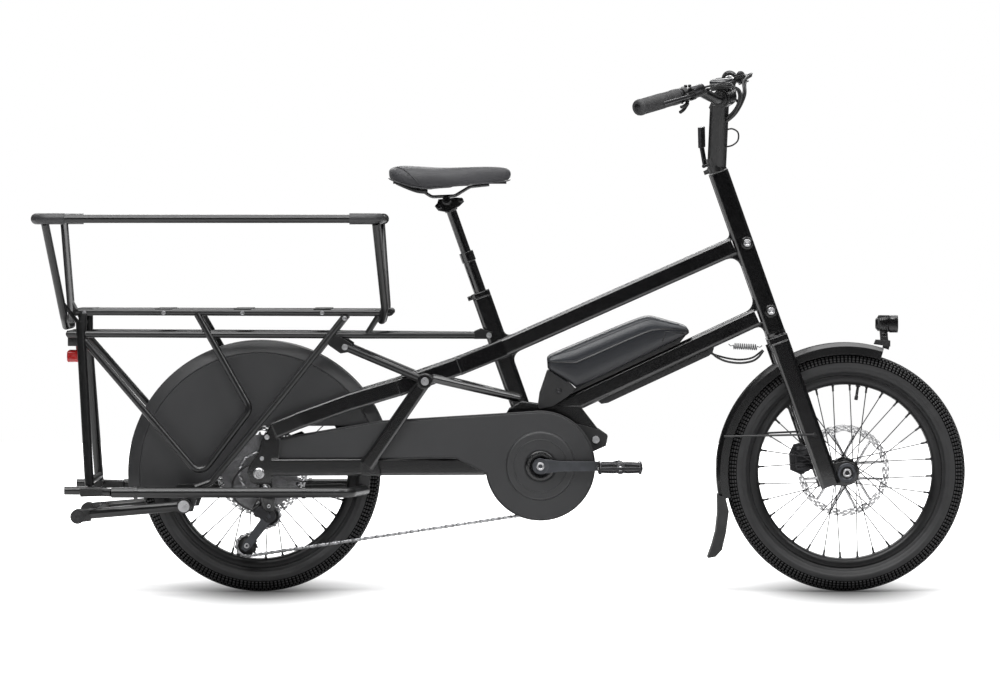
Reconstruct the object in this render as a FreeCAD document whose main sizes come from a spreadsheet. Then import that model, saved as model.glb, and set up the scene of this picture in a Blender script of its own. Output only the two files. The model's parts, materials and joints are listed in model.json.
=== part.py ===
import FreeCAD, Part
import Sketcher
import math
import os

# Long-tail cargo bicycle with a mid motor, a tubular child and cargo rack, a steering spring
# and a twisting stem.
#
# Row frame, millimetres: +X is the direction of travel, +Y is the rider's left, +Z is up.
# Origin: on the ground, midway along the bicycle's length, on the wheels' centre plane.
# Parts that steer are drawn in the steering frame, whose Z is the steering axis and whose
# origin is the head tube's top. The stem and bars are drawn in that frame twisted about its Z.

Vec = FreeCAD.Vector
Rot = FreeCAD.Rotation
Pose = FreeCAD.Placement
Y_AXIS = Vec(0, 1, 0)
Z_AXIS = Vec(0, 0, 1)
RIGHT, LEFT = -1, 1                # the sign of Y on each side
SIDES = (RIGHT, LEFT)

doc = FreeCAD.newDocument("CargoBicycle")
sheet = doc.addObject("Spreadsheet::Sheet", "Params")

# alias, value, what it drives
PARAMS = [
    ("rear_x", -526.7, "rear axle, fore-aft"),
    ("front_x", 745.0, "front axle, fore-aft"),
    ("axle_z", 261.0, "axle height, which is the tyre's outer radius"),
    ("tyre_width", 60.0, "tyre section width"),
    ("rim_in", 189.0, "rim inner radius"),
    ("rim_out", 209.0, "rim flange radius"),
    ("rim_width", 36.0, "rim outside width"),
    ("bead_r", 203.0, "tyre bead seat radius"),
    ("spokes", 32, "spokes in each wheel"),
    ("spoke_dia", 2.2, "spoke diameter"),
    ("flange_r", 29.0, "hub flange radius"),
    ("rotor_r", 100.0, "brake rotor radius"),
    ("rotor_thick", 2.0, "brake rotor thickness"),
    ("front_gap", 110.0, "front dropout spacing"),
    ("rear_gap", 148.0, "rear dropout spacing"),
    ("axle_dia", 15.0, "wheel axle diameter"),
    ("run_gap", 0.05, "radial running clearance in bearings"),
    ("head_x", 468.1, "head tube top, fore-aft"),
    ("head_z", 912.6, "head tube top, height"),
    ("head_len", 369.3, "head tube length"),
    ("head_width", 48.0, "head tube width"),
    ("head_depth", 42.6, "head tube depth, fore-aft"),
    ("head_bore", 38.0, "head tube bore"),
    ("steerer_dia", 28.6, "steerer diameter"),
    ("head_tilt", 19.55, "steering axis, degrees behind vertical"),
    ("bar_twist", 24.0, "stem twist at rest, degrees to the right"),
    ("seat_x", -49.5, "seat tube top, fore-aft"),
    ("seat_z", 651.6, "seat tube top, height"),
    ("seat_tilt", 19.5, "seat tube, degrees behind vertical"),
    ("seat_size", 41.0, "seat tube size across its flats"),
    ("post_dia", 27.2, "outer seat post diameter"),
    ("post_bore", 23.0, "outer seat post bore"),
    ("inner_dia", 22.2, "inner seat post diameter"),
    ("beam_depth", 40.0, "top tube height"),
    ("beam_width", 47.0, "top tube width"),
    ("down_depth", 40.0, "down tube height"),
    ("down_width", 50.0, "down tube width"),
    ("crank_x", 81.2, "crank axis, fore-aft"),
    ("crank_z", 276.7, "crank axis, height"),
    ("crank_len", 170.0, "crank length"),
    ("ring_teeth", 50, "chainring teeth"),
    ("chain_pitch", 12.7, "chain pitch"),
    ("chain_y", 54.0, "chain line, towards the rider's right"),
    ("stay_y", 84.0, "seat and chain stay offset"),
    ("guard_r", 286.0, "rear mudguard outer radius"),
    ("guard_flat", 259.0, "rear mudguard radius where the side panel starts"),
    ("guard_y", 55.0, "rear wheel cover half width"),
    ("guard_thick", 3.0, "rear wheel cover wall"),
    ("fguard_r", 281.0, "front mudguard outer radius"),
    ("fguard_width", 66.0, "front mudguard width"),
    ("rail_dia", 15.0, "rack rail diameter"),
    ("deck_y", 75.0, "rack deck rail offset"),
    ("deck_z", 607.5, "rack deck rail height"),
    ("foot_dia", 22.0, "footrest tube diameter"),
    ("foot_y", 177.0, "footrest tube offset"),
    ("foot_z", 224.4, "footrest tube height"),
    ("ring_y", 236.0, "guard rail offset"),
    ("ring_z", 810.5, "guard rail height"),
    ("ring_dia", 18.0, "guard rail diameter"),
    ("stand_x", -685.4, "stand pivot, fore-aft"),
    ("stand_z", 193.0, "stand pivot, height"),
    ("stand_y", 128.0, "stand leg offset"),
    ("stand_len", 232.0, "stand leg length"),
    ("bar_half", 285.0, "half the handlebar's width"),
    ("bar_dia", 22.2, "handlebar diameter"),
    ("grip_dia", 33.0, "grip diameter"),
    ("grip_len", 130.0, "grip length"),
    ("battery_width", 90.0, "battery width"),
    ("case_r", 119.0, "round end of the chain case"),
    ("disc_r", 75.0, "chainring cover radius"),
]
for row, (alias, value, note) in enumerate(PARAMS, 1):
    sheet.set("A%d" % row, alias)
    sheet.set("B%d" % row, str(value))
    sheet.setAlias("B%d" % row, alias)
    sheet.set("C%d" % row, note)
doc.recompute()


class Dimensions:
    """The sheet's values, one attribute for each alias."""


dim = Dimensions()
for alias, _, _ in PARAMS:
    setattr(dim, alias, float(sheet.get(alias)))
nodes = {}                         # label -> document object


# ---------------------------------------------------------------- sketched bodies

def ex(text):
    """'$name' in a size means the sheet's cell of that name."""
    return text.replace("$", "Params.")


def new_body(label):
    body = doc.addObject("PartDesign::Body", "Body_" + label)
    body.Label = label
    nodes[label] = body
    return body


def origin_item(body, role):
    return [item for item in body.Origin.OriginFeatures if item.Role == role][0]


def new_sketch(body, plane="XZ_Plane", offset=0.0):
    """A sketch on one of the body's own origin planes, moved along the plane's normal."""
    profile = body.newObject("Sketcher::SketchObject", "Sketch")
    profile.AttachmentSupport = [(origin_item(body, plane), "")]
    profile.MapMode = "FlatFace"
    if offset:
        profile.AttachmentOffset = Pose(Vec(0, 0, offset), Rot())
    return profile


def fix(profile, kind, edge, point, size):
    """Holds a sketch point to the origin at a number or a sheet expression."""
    value = 1.0 if isinstance(size, str) else float(size)
    index = profile.addConstraint(Sketcher.Constraint(kind, -1, 1, edge, point, value))
    if isinstance(size, str):
        profile.setExpression("Constraints[%d]" % index, ex(size))


def polygon(profile, points):
    """A closed polygon; each coordinate is a number or a sheet expression."""
    count = len(points)

    def guess(k):
        """A scattered starting place, so that no edge starts with zero length."""
        k %= count
        x, y = points[k]
        return Vec(13.017 * k + 5.3 if isinstance(x, str) else x,
                   7.013 * (k ** 2 % 11) + 3.37 + 0.11 * k if isinstance(y, str) else y, 0)

    for k in range(count):
        profile.addGeometry(Part.LineSegment(guess(k), guess(k + 1)), False)
    for k in range(count):
        profile.addConstraint(Sketcher.Constraint("Coincident", k, 2, (k + 1) % count, 1))
    for k, (x, y) in enumerate(points):
        fix(profile, "DistanceX", k, 1, x)
        fix(profile, "DistanceY", k, 1, y)


def circle(profile, radius):
    """A circle about the origin, its radius a sheet expression."""
    start_r = 20.0
    edge = profile.addGeometry(Part.Circle(Vec(0, 0, 0), Z_AXIS, start_r), False)
    fix(profile, "DistanceX", edge, 3, 0.0)
    fix(profile, "DistanceY", edge, 3, 0.0)
    index = profile.addConstraint(Sketcher.Constraint("Radius", edge, start_r))
    profile.setExpression("Constraints[%d]" % index, ex(radius))


def pad(body, profile, length, mid=False):
    """Pads a sketch by a sheet expression."""
    step = body.newObject("PartDesign::Pad", "Pad")
    step.Profile = profile
    step.Midplane = mid
    step.setExpression("Length", ex(length))
    profile.Visibility = False
    doc.recompute()
    return step


def turn(body, points, angle=360.0, plane="YZ_Plane", axis="H_Axis"):
    """A polygon revolved; by default its columns are Y and radius and it turns about Y."""
    profile = new_sketch(body, plane)
    polygon(profile, points)
    step = body.newObject("PartDesign::Revolution", "Revolution")
    step.Profile = profile
    step.ReferenceAxis = (profile, [axis])
    step.Angle = angle
    doc.recompute()


def channel(outer, inner, outer_top=(), inner_top=()):
    """A symmetric channel outline from its +Y half; outer and inner run from edge to centre."""
    def mirrored(points):
        return [("-(%s)" % y, radius) for y, radius in points]

    return (outer + list(outer_top) + mirrored(outer)[::-1]
            + mirrored(inner) + list(inner_top) + inner[::-1])


def place(body, x, z, rotation=Rot()):
    """Turns a body, and binds its place to the sheet."""
    body.Placement = Pose(Vec(0, 0, 0), rotation)
    body.setExpression("Placement.Base.x", ex(x))
    body.setExpression("Placement.Base.z", ex(z))
    doc.recompute()


# ---------------------------------------------------------------- free shapes

def feature(label, shape, pose=None):
    """A piece whose bent tubes or free shape PartDesign doesn't draw."""
    node = doc.addObject("Part::Feature", "Feature_" + label)
    node.Label = label
    node.Shape = shape
    if pose is not None:
        node.Placement = pose
    nodes[label] = node


def bent_wire(points, bend):
    """A polyline whose inner corners are rounded to a bend radius."""
    points = [Vec(*p) for p in points]
    edges, last = [], points[0]
    for before, corner, after in zip(points, points[1:], points[2:]):
        back, onward = (before - corner).normalize(), (after - corner).normalize()
        half = back.getAngle(onward) / 2
        if abs(half - math.pi / 2) < 1e-3:
            continue
        run = min(bend / math.tan(half), 0.48 * (before - corner).Length,
                  0.48 * (after - corner).Length)
        radius = run * math.tan(half)
        start, end = corner + back * run, corner + onward * run
        inward = (back + onward).normalize()
        middle = corner + inward * (radius / math.sin(half) - radius)
        if (start - last).Length > 1e-6:
            edges.append(Part.makeLine(last, start))
        edges.append(Part.Arc(start, middle, end).toShape())
        last = end
    edges.append(Part.makeLine(last, points[-1]))
    return Part.Wire(edges)


def tube(points, dia, bend=30.0):
    """A round bar along a bent centre line."""
    start = Vec(*points[0])
    ring = Part.Wire([Part.makeCircle(dia / 2.0, start, Vec(*points[1]) - start)])
    return bent_wire(points, bend).makePipeShell([ring], True, False)


def rod(start, end, dia):
    start, end = Vec(*start), Vec(*end)
    return Part.makeCylinder(dia / 2.0, (end - start).Length, start, end - start)


def y_rod(radius, y0, y1, x, z):
    """A cylinder across the bicycle, from y0 to y1."""
    return Part.makeCylinder(radius, y1 - y0, Vec(x, y0, z), Y_AXIS)


def z_rod(radius, z0, z1, x=0.0, y=0.0):
    """A cylinder along Z, from z0 to z1."""
    return Part.makeCylinder(radius, z1 - z0, Vec(x, y, z0), Z_AXIS)


def box_tube(start, end, width, depth, radius, up=Y_AXIS):
    """A rounded rectangular bar; width is its size along up, depth across it."""
    start, end = Vec(*start), Vec(*end)
    along = (end - start).normalize()
    wide = (up - along * up.dot(along)).normalize()
    deep = along.cross(wide)
    radius = min(radius, width / 2 - 0.1, depth / 2 - 0.1)
    arcs = []
    for su, sv in ((1, -1), (1, 1), (-1, 1), (-1, -1)):
        centre = start + wide * su * (width / 2 - radius) + deep * sv * (depth / 2 - radius)
        first, second = wide * su, deep * sv
        if su * sv < 0:
            first, second = second, first
        middle = (first + second).normalize()
        arcs.append(Part.Arc(centre + first * radius, centre + middle * radius,
                             centre + second * radius).toShape())
    edges = []
    for k, arc in enumerate(arcs):
        pairs = [(p.Point, q.Point) for p in arc.Vertexes for q in arcs[(k + 1) % 4].Vertexes]
        nearest = min(pairs, key=lambda pair: (pair[0] - pair[1]).Length)
        edges += [arc, Part.makeLine(*nearest)]
    return Part.Face(Part.Wire(Part.__sortEdges__(edges))).extrude(end - start)


def prism(corners, thick):
    """A flat polygon of vectors, extruded along +Y."""
    return Part.Face(Part.makePolygon(corners + [corners[0]])).extrude(Vec(0, thick, 0))


def slab(points, y0, y1):
    """A flat plate from y0 to y1; the points are X, Z."""
    return prism([Vec(x, y0, z) for x, z in points], y1 - y0)


def span(side, near, far):
    """Two distances from the centre plane as rising Y values on one side."""
    return sorted((side * near, side * far))


def pitch_radius(teeth):
    return dim.chain_pitch / (2 * math.sin(math.pi / teeth))


def toothed_disc(centre, teeth, root, tip, crest, thick):
    """A sprocket; root and tip are depths from the pitch circle, crest half a tooth's top."""
    radius, step = pitch_radius(teeth), 2 * math.pi / teeth
    corners = []
    for j in range(teeth):
        angle = 2 * math.pi * j / teeth
        for part, reach in ((-0.30, radius - root), (-crest, radius + tip),
                            (crest, radius + tip), (0.30, radius - root)):
            corners.append(centre + Vec(reach * math.sin(angle + part * step), 0,
                                        reach * math.cos(angle + part * step)))
    return prism(corners, thick)


def fuse(shapes):
    """One shape from many; a piece at a time, nudged by a hair, where surfaces only graze."""
    def good(shape, least):
        return not shape.isNull() and shape.isValid() and shape.Volume > least

    try:       # guards the joint fuse, which can fail on grazing surfaces
        whole = shapes[0].multiFuse(shapes[1:]).removeSplitter()
        if good(whole, max(s.Volume for s in shapes) * 0.99):
            return whole
    except Exception:
        pass
    whole = shapes[0]
    for other in shapes[1:]:
        for shift in ((0, 0, 0), (0.013, 0.011, 0.017), (-0.02, 0.015, -0.018),
                      (0.05, -0.04, 0.03), (-0.1, -0.08, 0.07)):
            piece = other.copy()
            piece.translate(Vec(*shift))
            try:       # guards one fuse; the next shift is tried when it fails
                out = whole.fuse(piece)
                if good(out, max(whole.Volume, piece.Volume) * 0.999):
                    break
            except Exception:
                continue
        else:
            raise RuntimeError("a fuse failed at %s" % other.BoundBox)
        whole = out
    try:       # guards the merging of coplanar faces, which is optional
        out = whole.removeSplitter()
        return out if good(out, whole.Volume * 0.999) else whole
    except Exception:
        return whole


def minus(shape, *tools):
    """Cuts tools away, and tries again a hair to one side where grazing surfaces stop a cut."""
    for whole_tool in tools:
        if not shape.BoundBox.intersect(whole_tool.BoundBox):
            continue
        whole = shape.Volume
        for shift in ((0, 0, 0), (0.004, 0.003, 0.005), (-0.005, 0.004, -0.003),
                      (0.01, -0.012, 0.009)):
            tool = whole_tool.copy()
            tool.translate(Vec(*shift))
            try:       # guards one cut; the next shift is tried when it fails
                out = shape.cut(tool)
                if (out.isNull() or out.Volume <= 0.02 * whole
                        or out.Volume > whole + 1e-3 or not out.isValid()):
                    continue
                if out.common(whole_tool).Volume > 3.0:
                    continue
            except Exception:
                continue
            shape = out
            break
        else:
            assert shape.common(whole_tool).Volume < 1e-3, "a cut failed"
    return shape


def tidy(shape, least=60.0):
    """Drops the slivers that a cut leaves behind."""
    keep = [s for s in shape.Solids if s.Volume > least]
    return keep[0] if len(keep) == 1 else Part.makeCompound(keep)


def largest(shape):
    return max(shape.Solids, key=lambda solid: solid.Volume)


def mirror_y(shape):
    return shape.mirror(Vec(0, 0, 0), Y_AXIS)


def moved(shape, pose):
    """Moves a shape itself from the frame it is drawn in, and returns it."""
    shape.Placement = pose.multiply(shape.Placement)
    return shape


def square_to(direction):
    """A direction in the XZ plane, turned a quarter from +X towards +Z."""
    return Vec(-direction.z, 0, direction.x)


# ---------------------------------------------------------------- shared places

HEAD_TOP = Vec(dim.head_x, 0, dim.head_z)
SEAT_TOP = Vec(dim.seat_x, 0, dim.seat_z)
CRANK = Vec(dim.crank_x, 0, dim.crank_z)
REAR = Vec(dim.rear_x, 0, dim.axle_z)
FRONT = Vec(dim.front_x, 0, dim.axle_z)

STEER_FRAME = Pose(HEAD_TOP, Rot(Y_AXIS, -dim.head_tilt))
BAR_FRAME = STEER_FRAME.multiply(Pose(Vec(0, 0, 0), Rot(Z_AXIS, -dim.bar_twist)))
SEAT_FRAME = Pose(SEAT_TOP, Rot(Y_AXIS, -dim.seat_tilt))
HEAD_DOWN = STEER_FRAME.Rotation.multVec(Vec(0, 0, -1))
SEAT_DOWN = SEAT_FRAME.Rotation.multVec(Vec(0, 0, -1))

BEAM_LOW, BEAM_HIGH = Vec(-2.0, 0, 528.0), Vec(500.8, 0, 750.6)      # top tube's centre line
BEAM_LEN = 549.87
BEAM_DIR = (BEAM_HIGH - BEAM_LOW) * (1 / BEAM_LEN)

DOWN_ANGLE = math.radians(24.98)                                     # down tube's climb
DOWN_DIR = Vec(math.cos(DOWN_ANGLE), 0, math.sin(DOWN_ANGLE))
DOWN_FOOT = Vec(102.7, 0, 387.4)
DOWN_LOW, DOWN_HIGH = DOWN_FOOT + Vec(-8, 0, -3.7), Vec(552.0, 0, 596.6)

# X, Z of features that run across the frame
HEAD_BOSSES = ((530.2, 758.3), (582.3, 610.7))
MOTOR_BOLT = (202, 331.5)
STAY_JOINT = (-168, 460)
HANGER = (-512, 228.6)


def on_down_tube(along, above):
    """X, Z of a point along the down tube from its foot, and above its centre line."""
    point = DOWN_FOOT + DOWN_DIR * along + square_to(DOWN_DIR) * above
    return point.x, point.z


# ---------------------------------------------------------------- wheels

def make_tyre(end):
    body = new_body(end + "_tyre")
    width = "$tyre_width"
    outer = [("15.2", "$bead_r + 0.2"), ("15.2", "$rim_out + 1.5"),
             (width + "*0.40", "$axle_z - 43.5"), (width + "*0.485", "$axle_z - 36"),
             (width + "*0.5", "$axle_z - 28"), (width + "*0.48", "$axle_z - 18"),
             (width + "*0.41", "$axle_z - 9.5"), (width + "*0.30", "$axle_z - 4"),
             (width + "*0.15", "$axle_z - 0.9")]
    inner = [("11", "$bead_r + 0.2"), ("11", "$bead_r + 3"), (width + "*0.40", "$axle_z - 37"),
             (width + "*0.43", "$axle_z - 28"), (width + "*0.38", "$axle_z - 17"),
             (width + "*0.25", "$axle_z - 9.5")]
    turn(body, channel(outer, inner, [(0.0, "$axle_z")], [(0.0, "$axle_z - 7")]))
    place(body, "$%s_x" % end, "$axle_z")


def make_rim(end):
    body = new_body(end + "_rim")
    half = "$rim_width/2"
    outer = [(half, "$rim_out"), (half, "$rim_out - 9"), (half + " - 5", "$rim_in + 3"),
             ("8", "$rim_in")]
    inner = [(half + " - 2.6", "$rim_out"), (half + " - 2.6", "$bead_r"), ("7", "$bead_r"),
             ("4", "$bead_r - 4")]
    turn(body, channel(outer, inner))
    place(body, "$%s_x" % end, "$axle_z")


def make_spokes(end, flanges, first_spoke):
    """Half lean forwards and half backwards from each flange, so that they cross."""
    count = int(dim.spokes)
    hub_r = dim.flange_r - 4
    rim_r = dim.rim_in - 0.3
    spokes = []
    for k in range(count):
        side = 1 if k % 2 == 0 else -1
        lean = 1 if (k // 2) % 2 == 0 else -1
        rim_angle = math.radians(k * (360.0 / count) + first_spoke)
        hub_angle = rim_angle + lean * math.radians(50)
        flange_y = (flanges[0] if side > 0 else flanges[1]) + lean * 3.3
        start = Vec(hub_r * math.sin(hub_angle), flange_y, hub_r * math.cos(hub_angle))
        end_point = Vec(rim_r * math.sin(rim_angle), side * 2.5, rim_r * math.cos(rim_angle))
        along = (end_point - start).normalize()
        wire = Part.makeCylinder(dim.spoke_dia / 2, (end_point - start).Length - 6, start, along)
        nipple = Part.makeCylinder(2.2, 12, end_point - along * 12.5, along)
        spokes.append(wire.fuse(nipple).removeSplitter())
    centre = Vec(getattr(dim, end + "_x"), 0, dim.axle_z)
    feature(end + "_spokes", Part.makeCompound(spokes), Pose(centre, Rot()))


def make_hub(end, rotor_seat, barrel_r, flanges, driver):
    """Turned hub; driver is the Y range of the seat for the cassette, on the rider's right."""
    body = new_body(end + "_hub")
    bore = "$axle_dia/2 + $run_gap"
    half = getattr(dim, end + "_gap") / 2 - 0.2
    left, right = flanges
    points = [(half, bore), (half, "11"), (rotor_seat + 1.2, "11"), (rotor_seat + 1.2, "22"),
              (rotor_seat - 3.0, "22"), (rotor_seat - 3.0, barrel_r),
              (left + 0.8, barrel_r), (left + 0.8, "$flange_r"),
              (left - 0.8, "$flange_r"), (left - 0.8, barrel_r - 2),
              (right + 0.8, barrel_r - 2), (right + 0.8, "$flange_r"),
              (right - 0.8, "$flange_r"), (right - 0.8, barrel_r)]
    if driver:
        points += [(driver[1] + 1.0, barrel_r), (driver[1] + 1.0, "17"), (driver[0], "17"),
                   (driver[0], "11")]
    else:
        points += [(right - 8.0, 11.0)]
    points += [(-half, "11"), (-half, bore)]
    turn(body, points)
    place(body, "$%s_x" % end, "$axle_z")


def make_rotor(end, rotor_seat):
    """A braking band on a six-armed carrier that fits over the hub's seat; returns its mid Y."""
    body = new_body(end + "_rotor")
    face_y = rotor_seat + 1.3 + dim.rotor_thick
    for outer, inner in (("$rotor_r", "$rotor_r - 15"), ("30", "11.1")):
        profile = new_sketch(body, "XZ_Plane", -face_y)
        circle(profile, outer)
        circle(profile, inner)
        pad(body, profile, "$rotor_thick")
    profile = new_sketch(body, "XZ_Plane", -face_y)
    polygon(profile, [(4.0, 27.0), (-5.0, 28.0), (14.0, "$rotor_r - 13"),
                      (24.0, "$rotor_r - 15")])
    arm = pad(body, profile, "$rotor_thick")
    pattern = body.newObject("PartDesign::PolarPattern", "Pattern")
    pattern.Originals = [arm]
    pattern.Axis = (origin_item(body, "Y_Axis"), [""])
    pattern.Angle = 360
    pattern.Occurrences = 6
    body.Tip = pattern
    place(body, "$%s_x" % end, "$axle_z")
    return face_y - dim.rotor_thick / 2


def make_wheel(end, rotor_seat, barrel_r, flanges, first_spoke, driver=None):
    """A whole wheel about its axle; flanges are their Y values, left then right."""
    make_tyre(end)
    make_rim(end)
    make_spokes(end, flanges, first_spoke)
    make_hub(end, rotor_seat, barrel_r, flanges, driver)
    return make_rotor(end, rotor_seat)


def make_axle(end, dropout, right_head):
    """A shaft through the hub with a head at each end, beyond the dropouts."""
    body = new_body(end + "_axle")
    reach = getattr(dim, end + "_gap") / 2 + dropout + 0.2
    turn(body, [(-reach - 5, 0.0), (-reach - 5, 9.0), (-reach - 3.5, right_head),
                (-reach, right_head), (-reach, "$axle_dia/2"), (reach, "$axle_dia/2"),
                (reach, "12"), (reach + 5, "12"), (reach + 6.5, 10.0), (reach + 6.5, 0.0)])
    place(body, "$%s_x" % end, "$axle_z")


COGS = [11, 13, 15, 17, 19, 21, 24, 27, 30, 34, 38, 42]       # teeth, outermost first
COG_Y, COG_STEP, COG_THICK = -72.0, 2.95, 1.6
CHAIN_COG = 5                                                 # the sprocket the chain is on


def cassette_shape():
    """Twelve toothed sprockets on a sleeve; the larger ones have a ring of holes."""
    pieces = []
    for k, teeth in enumerate(COGS):
        y = COG_Y + k * COG_STEP
        radius = pitch_radius(teeth)
        cog = toothed_disc(Vec(0, y, 0), teeth, 3.4, 3.0, 0.10, COG_THICK)
        if teeth > 24:
            hole_r = min((radius - 8 - 24) / 2 - 1.5, 12)
            ring_r = (24.0 + radius - 8) / 2
            for j in range(6):
                angle = math.radians(60 * j + 6 * k)
                cog = cog.cut(y_rod(hole_r, y - 1, y + 3, ring_r * math.sin(angle),
                                    ring_r * math.cos(angle)))
        pieces.append(cog)
    pieces.append(y_rod(20.5, COG_Y - 0.4, COG_Y + 33.6, 0, 0))
    return pieces[0].multiFuse(pieces[1:]).cut(y_rod(17.05, -80, -20, 0, 0))


front_rotor_y = make_wheel("front", rotor_seat=40.0, barrel_r=16.0, flanges=(29.0, -33.0),
                           first_spoke=3.0)
rear_rotor_y = make_wheel("rear", rotor_seat=48.0, barrel_r=21.0, flanges=(34.0, -26.0),
                          first_spoke=8.0, driver=(COG_Y, -38.0))
make_axle("front", dropout=8.0, right_head="10")
make_axle("rear", dropout=10.0, right_head="12")
feature("cassette", cassette_shape(), Pose(REAR, Rot()))


# ---------------------------------------------------------------- frame

def bent_stay(points, width, depth):
    """A rectangular tube along a polyline; each length runs a little past its inner corners."""
    pieces = []
    last = len(points) - 2
    for k in range(last + 1):
        start, end = Vec(*points[k]), Vec(*points[k + 1])
        along = (end - start).normalize()
        before = 0 if k == 0 else 5
        after = 0 if k == last else 5
        pieces.append(box_tube(start - along * before, end + along * after, width,
                               depth - 1.0 * k, 5.0))
    return pieces


def fillet_web(edge_a, dir_a, edge_b, dir_b, radius, half_width):
    """A web with a hollow edge, in the corner where two tube faces meet.

    Each face is given by a point on it and the direction in which it leaves the corner."""
    cross = dir_a.x * dir_b.z - dir_a.z * dir_b.x
    gap = edge_b - edge_a
    corner = edge_a + dir_a * ((gap.x * dir_b.z - gap.z * dir_b.x) / cross)
    half = math.acos(dir_a.dot(dir_b)) / 2
    run = radius / math.tan(half)
    between = (dir_a + dir_b).normalize()
    centre = corner + between * (radius / math.sin(half))
    start, end = corner + dir_a * run - centre, corner + dir_b * run - centre
    angle0 = math.atan2(start.z, start.x)
    angle1 = math.atan2(end.z, end.x)
    while angle1 - angle0 > math.pi:
        angle1 -= 2 * math.pi
    while angle1 - angle0 < -math.pi:
        angle1 += 2 * math.pi
    arc = []
    for k in range(9):
        angle = angle0 + (angle1 - angle0) * k / 8
        arc.append(centre + Vec(radius * math.cos(angle), 0, radius * math.sin(angle)))
    corners = [arc[0] - dir_b * 6] + arc + [arc[-1] - dir_a * 6, corner - between * 9]
    return slab([(p.x, p.z) for p in corners], -half_width, half_width)


def corner_webs():
    """Webs that fill the corners where the top and down tubes meet the head and seat tubes."""
    beam_normal = square_to(BEAM_DIR) * (dim.beam_depth / 2)
    down_normal = square_to(DOWN_DIR) * (dim.down_depth / 2)
    beam_upper, beam_lower = BEAM_LOW + beam_normal, BEAM_LOW - beam_normal
    down_upper, down_lower = DOWN_LOW + down_normal, DOWN_LOW - down_normal
    head_rear = HEAD_TOP - square_to(HEAD_DOWN) * (dim.head_depth / 2)
    seat_front = SEAT_TOP + square_to(SEAT_DOWN) * (dim.seat_size / 2)
    beam_back, down_back = BEAM_DIR * -1, DOWN_DIR * -1
    head_up, seat_up = HEAD_DOWN * -1, SEAT_DOWN * -1
    # point and direction of the first face, the same of the second, radius, half width
    webs = [(beam_upper, beam_back, head_rear, head_up, 12, 21),
            (beam_lower, beam_back, head_rear, HEAD_DOWN, 24, 21),
            (down_upper, down_back, head_rear, head_up, 24, 22),
            (down_lower, down_back, head_rear, HEAD_DOWN, 14, 22),
            (beam_lower, BEAM_DIR, seat_front, SEAT_DOWN, 20, 18),
            (beam_upper, BEAM_DIR, seat_front, seat_up, 13, 18),
            (down_upper, DOWN_DIR, seat_front, seat_up, 11, 18)]
    return [fillet_web(*web) for web in webs]


def rear_triangle(side):
    """The stays, their joints and the dropout on one side."""
    y = side * dim.stay_y
    gusset = [(-305, 256), (-262, 256), (-270, 292), (-284, 312), (-306, 292)]
    dropout = [(-502, 364), (-480, 350), (-482, 300), (-492, 256), (-508, 240), (-526, 233),
               (-546, 242), (-552, 262), (-546, 281), (-530, 300), (-521, 330)]
    return bent_stay([(2.0, side * 26, 530.0), (-92.5, side * 58, 492.5),
                      (-222.0, side * 75, 447.4), (-329.9, side * 80, 415.2),
                      (-437.8, y, 376.4), (-494.0, y, 353.0)], 16.0, 40.0) + [
        box_tube((-500, y, 274), (-40, side * 52, 274), 16.0, 37.0, 5.0),
        box_tube((-168, y, 460), (-295, y, 277), 15.0, 29.0, 5.0),
        y_rod(16, y - 13, y + 13, *STAY_JOINT),
        slab(gusset, *span(side, 76, 88)),
        rod((-153, side * 76, 466), (36, side * 16, 421), 18),
        slab(dropout, *span(side, 74.7, dim.stay_y))]


def frame_shape():
    solids = [
        box_tube(HEAD_TOP, HEAD_TOP + HEAD_DOWN * dim.head_len, dim.head_width,
                 dim.head_depth, 8),
        box_tube(BEAM_HIGH, BEAM_LOW, dim.beam_width, dim.beam_depth, 7),
        box_tube(DOWN_HIGH, DOWN_LOW, dim.down_width, dim.down_depth, 8),
        box_tube(SEAT_TOP + SEAT_DOWN * 12, SEAT_TOP + SEAT_DOWN * 262, dim.seat_size,
                 dim.seat_size, 8)]
    solids += corner_webs() + rear_triangle(LEFT) + rear_triangle(RIGHT)
    solids.append(rod((-66, -52, 498), (-66, 52, 498), 22))
    # housing around the motor, and the cross piece behind it
    solids.append(slab([(-60, 255), (-60, 284), (-24, 330), (14, 398), (40, 414), (104, 405),
                        (168, 404), (206, 355), (226, 340), (224, 318), (200, 309), (150, 300),
                        (81, 277), (0, 255)], -26.8, 26.8))
    solids.append(slab([(-66, 257), (-66, 284), (20, 284), (20, 257)], -50, 50))
    solids += [y_rod(12, -30, 30, x, z) for x, z in HEAD_BOSSES]
    # derailleur hanger
    solids.append(slab([(-500, 246), (-526, 238), (-528, 222), (-512, 212), (-498, 222)],
                       -84, -74.7))
    frame = solids[0].multiFuse(solids[1:])
    cuts = [Part.makeCylinder(dim.head_bore / 2, 500, HEAD_TOP - HEAD_DOWN * 50, HEAD_DOWN),
            Part.makeCylinder(dim.post_dia / 2 + 0.05, 268, SEAT_TOP - SEAT_DOWN * 20,
                              SEAT_DOWN),
            y_rod(76.5, -100, 100, CRANK.x, CRANK.z),
            y_rod(dim.axle_dia / 2 + 0.1, -150, 150, REAR.x, REAR.z),
            y_rod(4.1, -40, 40, *MOTOR_BOLT),
            y_rod(5.05, -100, -60, *HANGER)]
    for x, z in HEAD_BOSSES:
        cuts += [y_rod(4.1, -31, -22, x, z), y_rod(4.1, 22, 31, x, z)]
    for tool in cuts:
        frame = frame.cut(tool)
    return frame


def make_head_bearings():
    """One race in each end of the head tube."""
    body = new_body("head_bearings")
    body.AllowCompound = True
    inner, outer, height = "$steerer_dia/2 + $run_gap", "$head_bore/2", 12.0
    for z in (-1.0, -(dim.head_len - 13.0)):
        turn(body, [(inner, z), (outer, z), (outer, z - height), (inner, z - height)],
             plane="XZ_Plane", axis="V_Axis")
    body.Placement = STEER_FRAME


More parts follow.
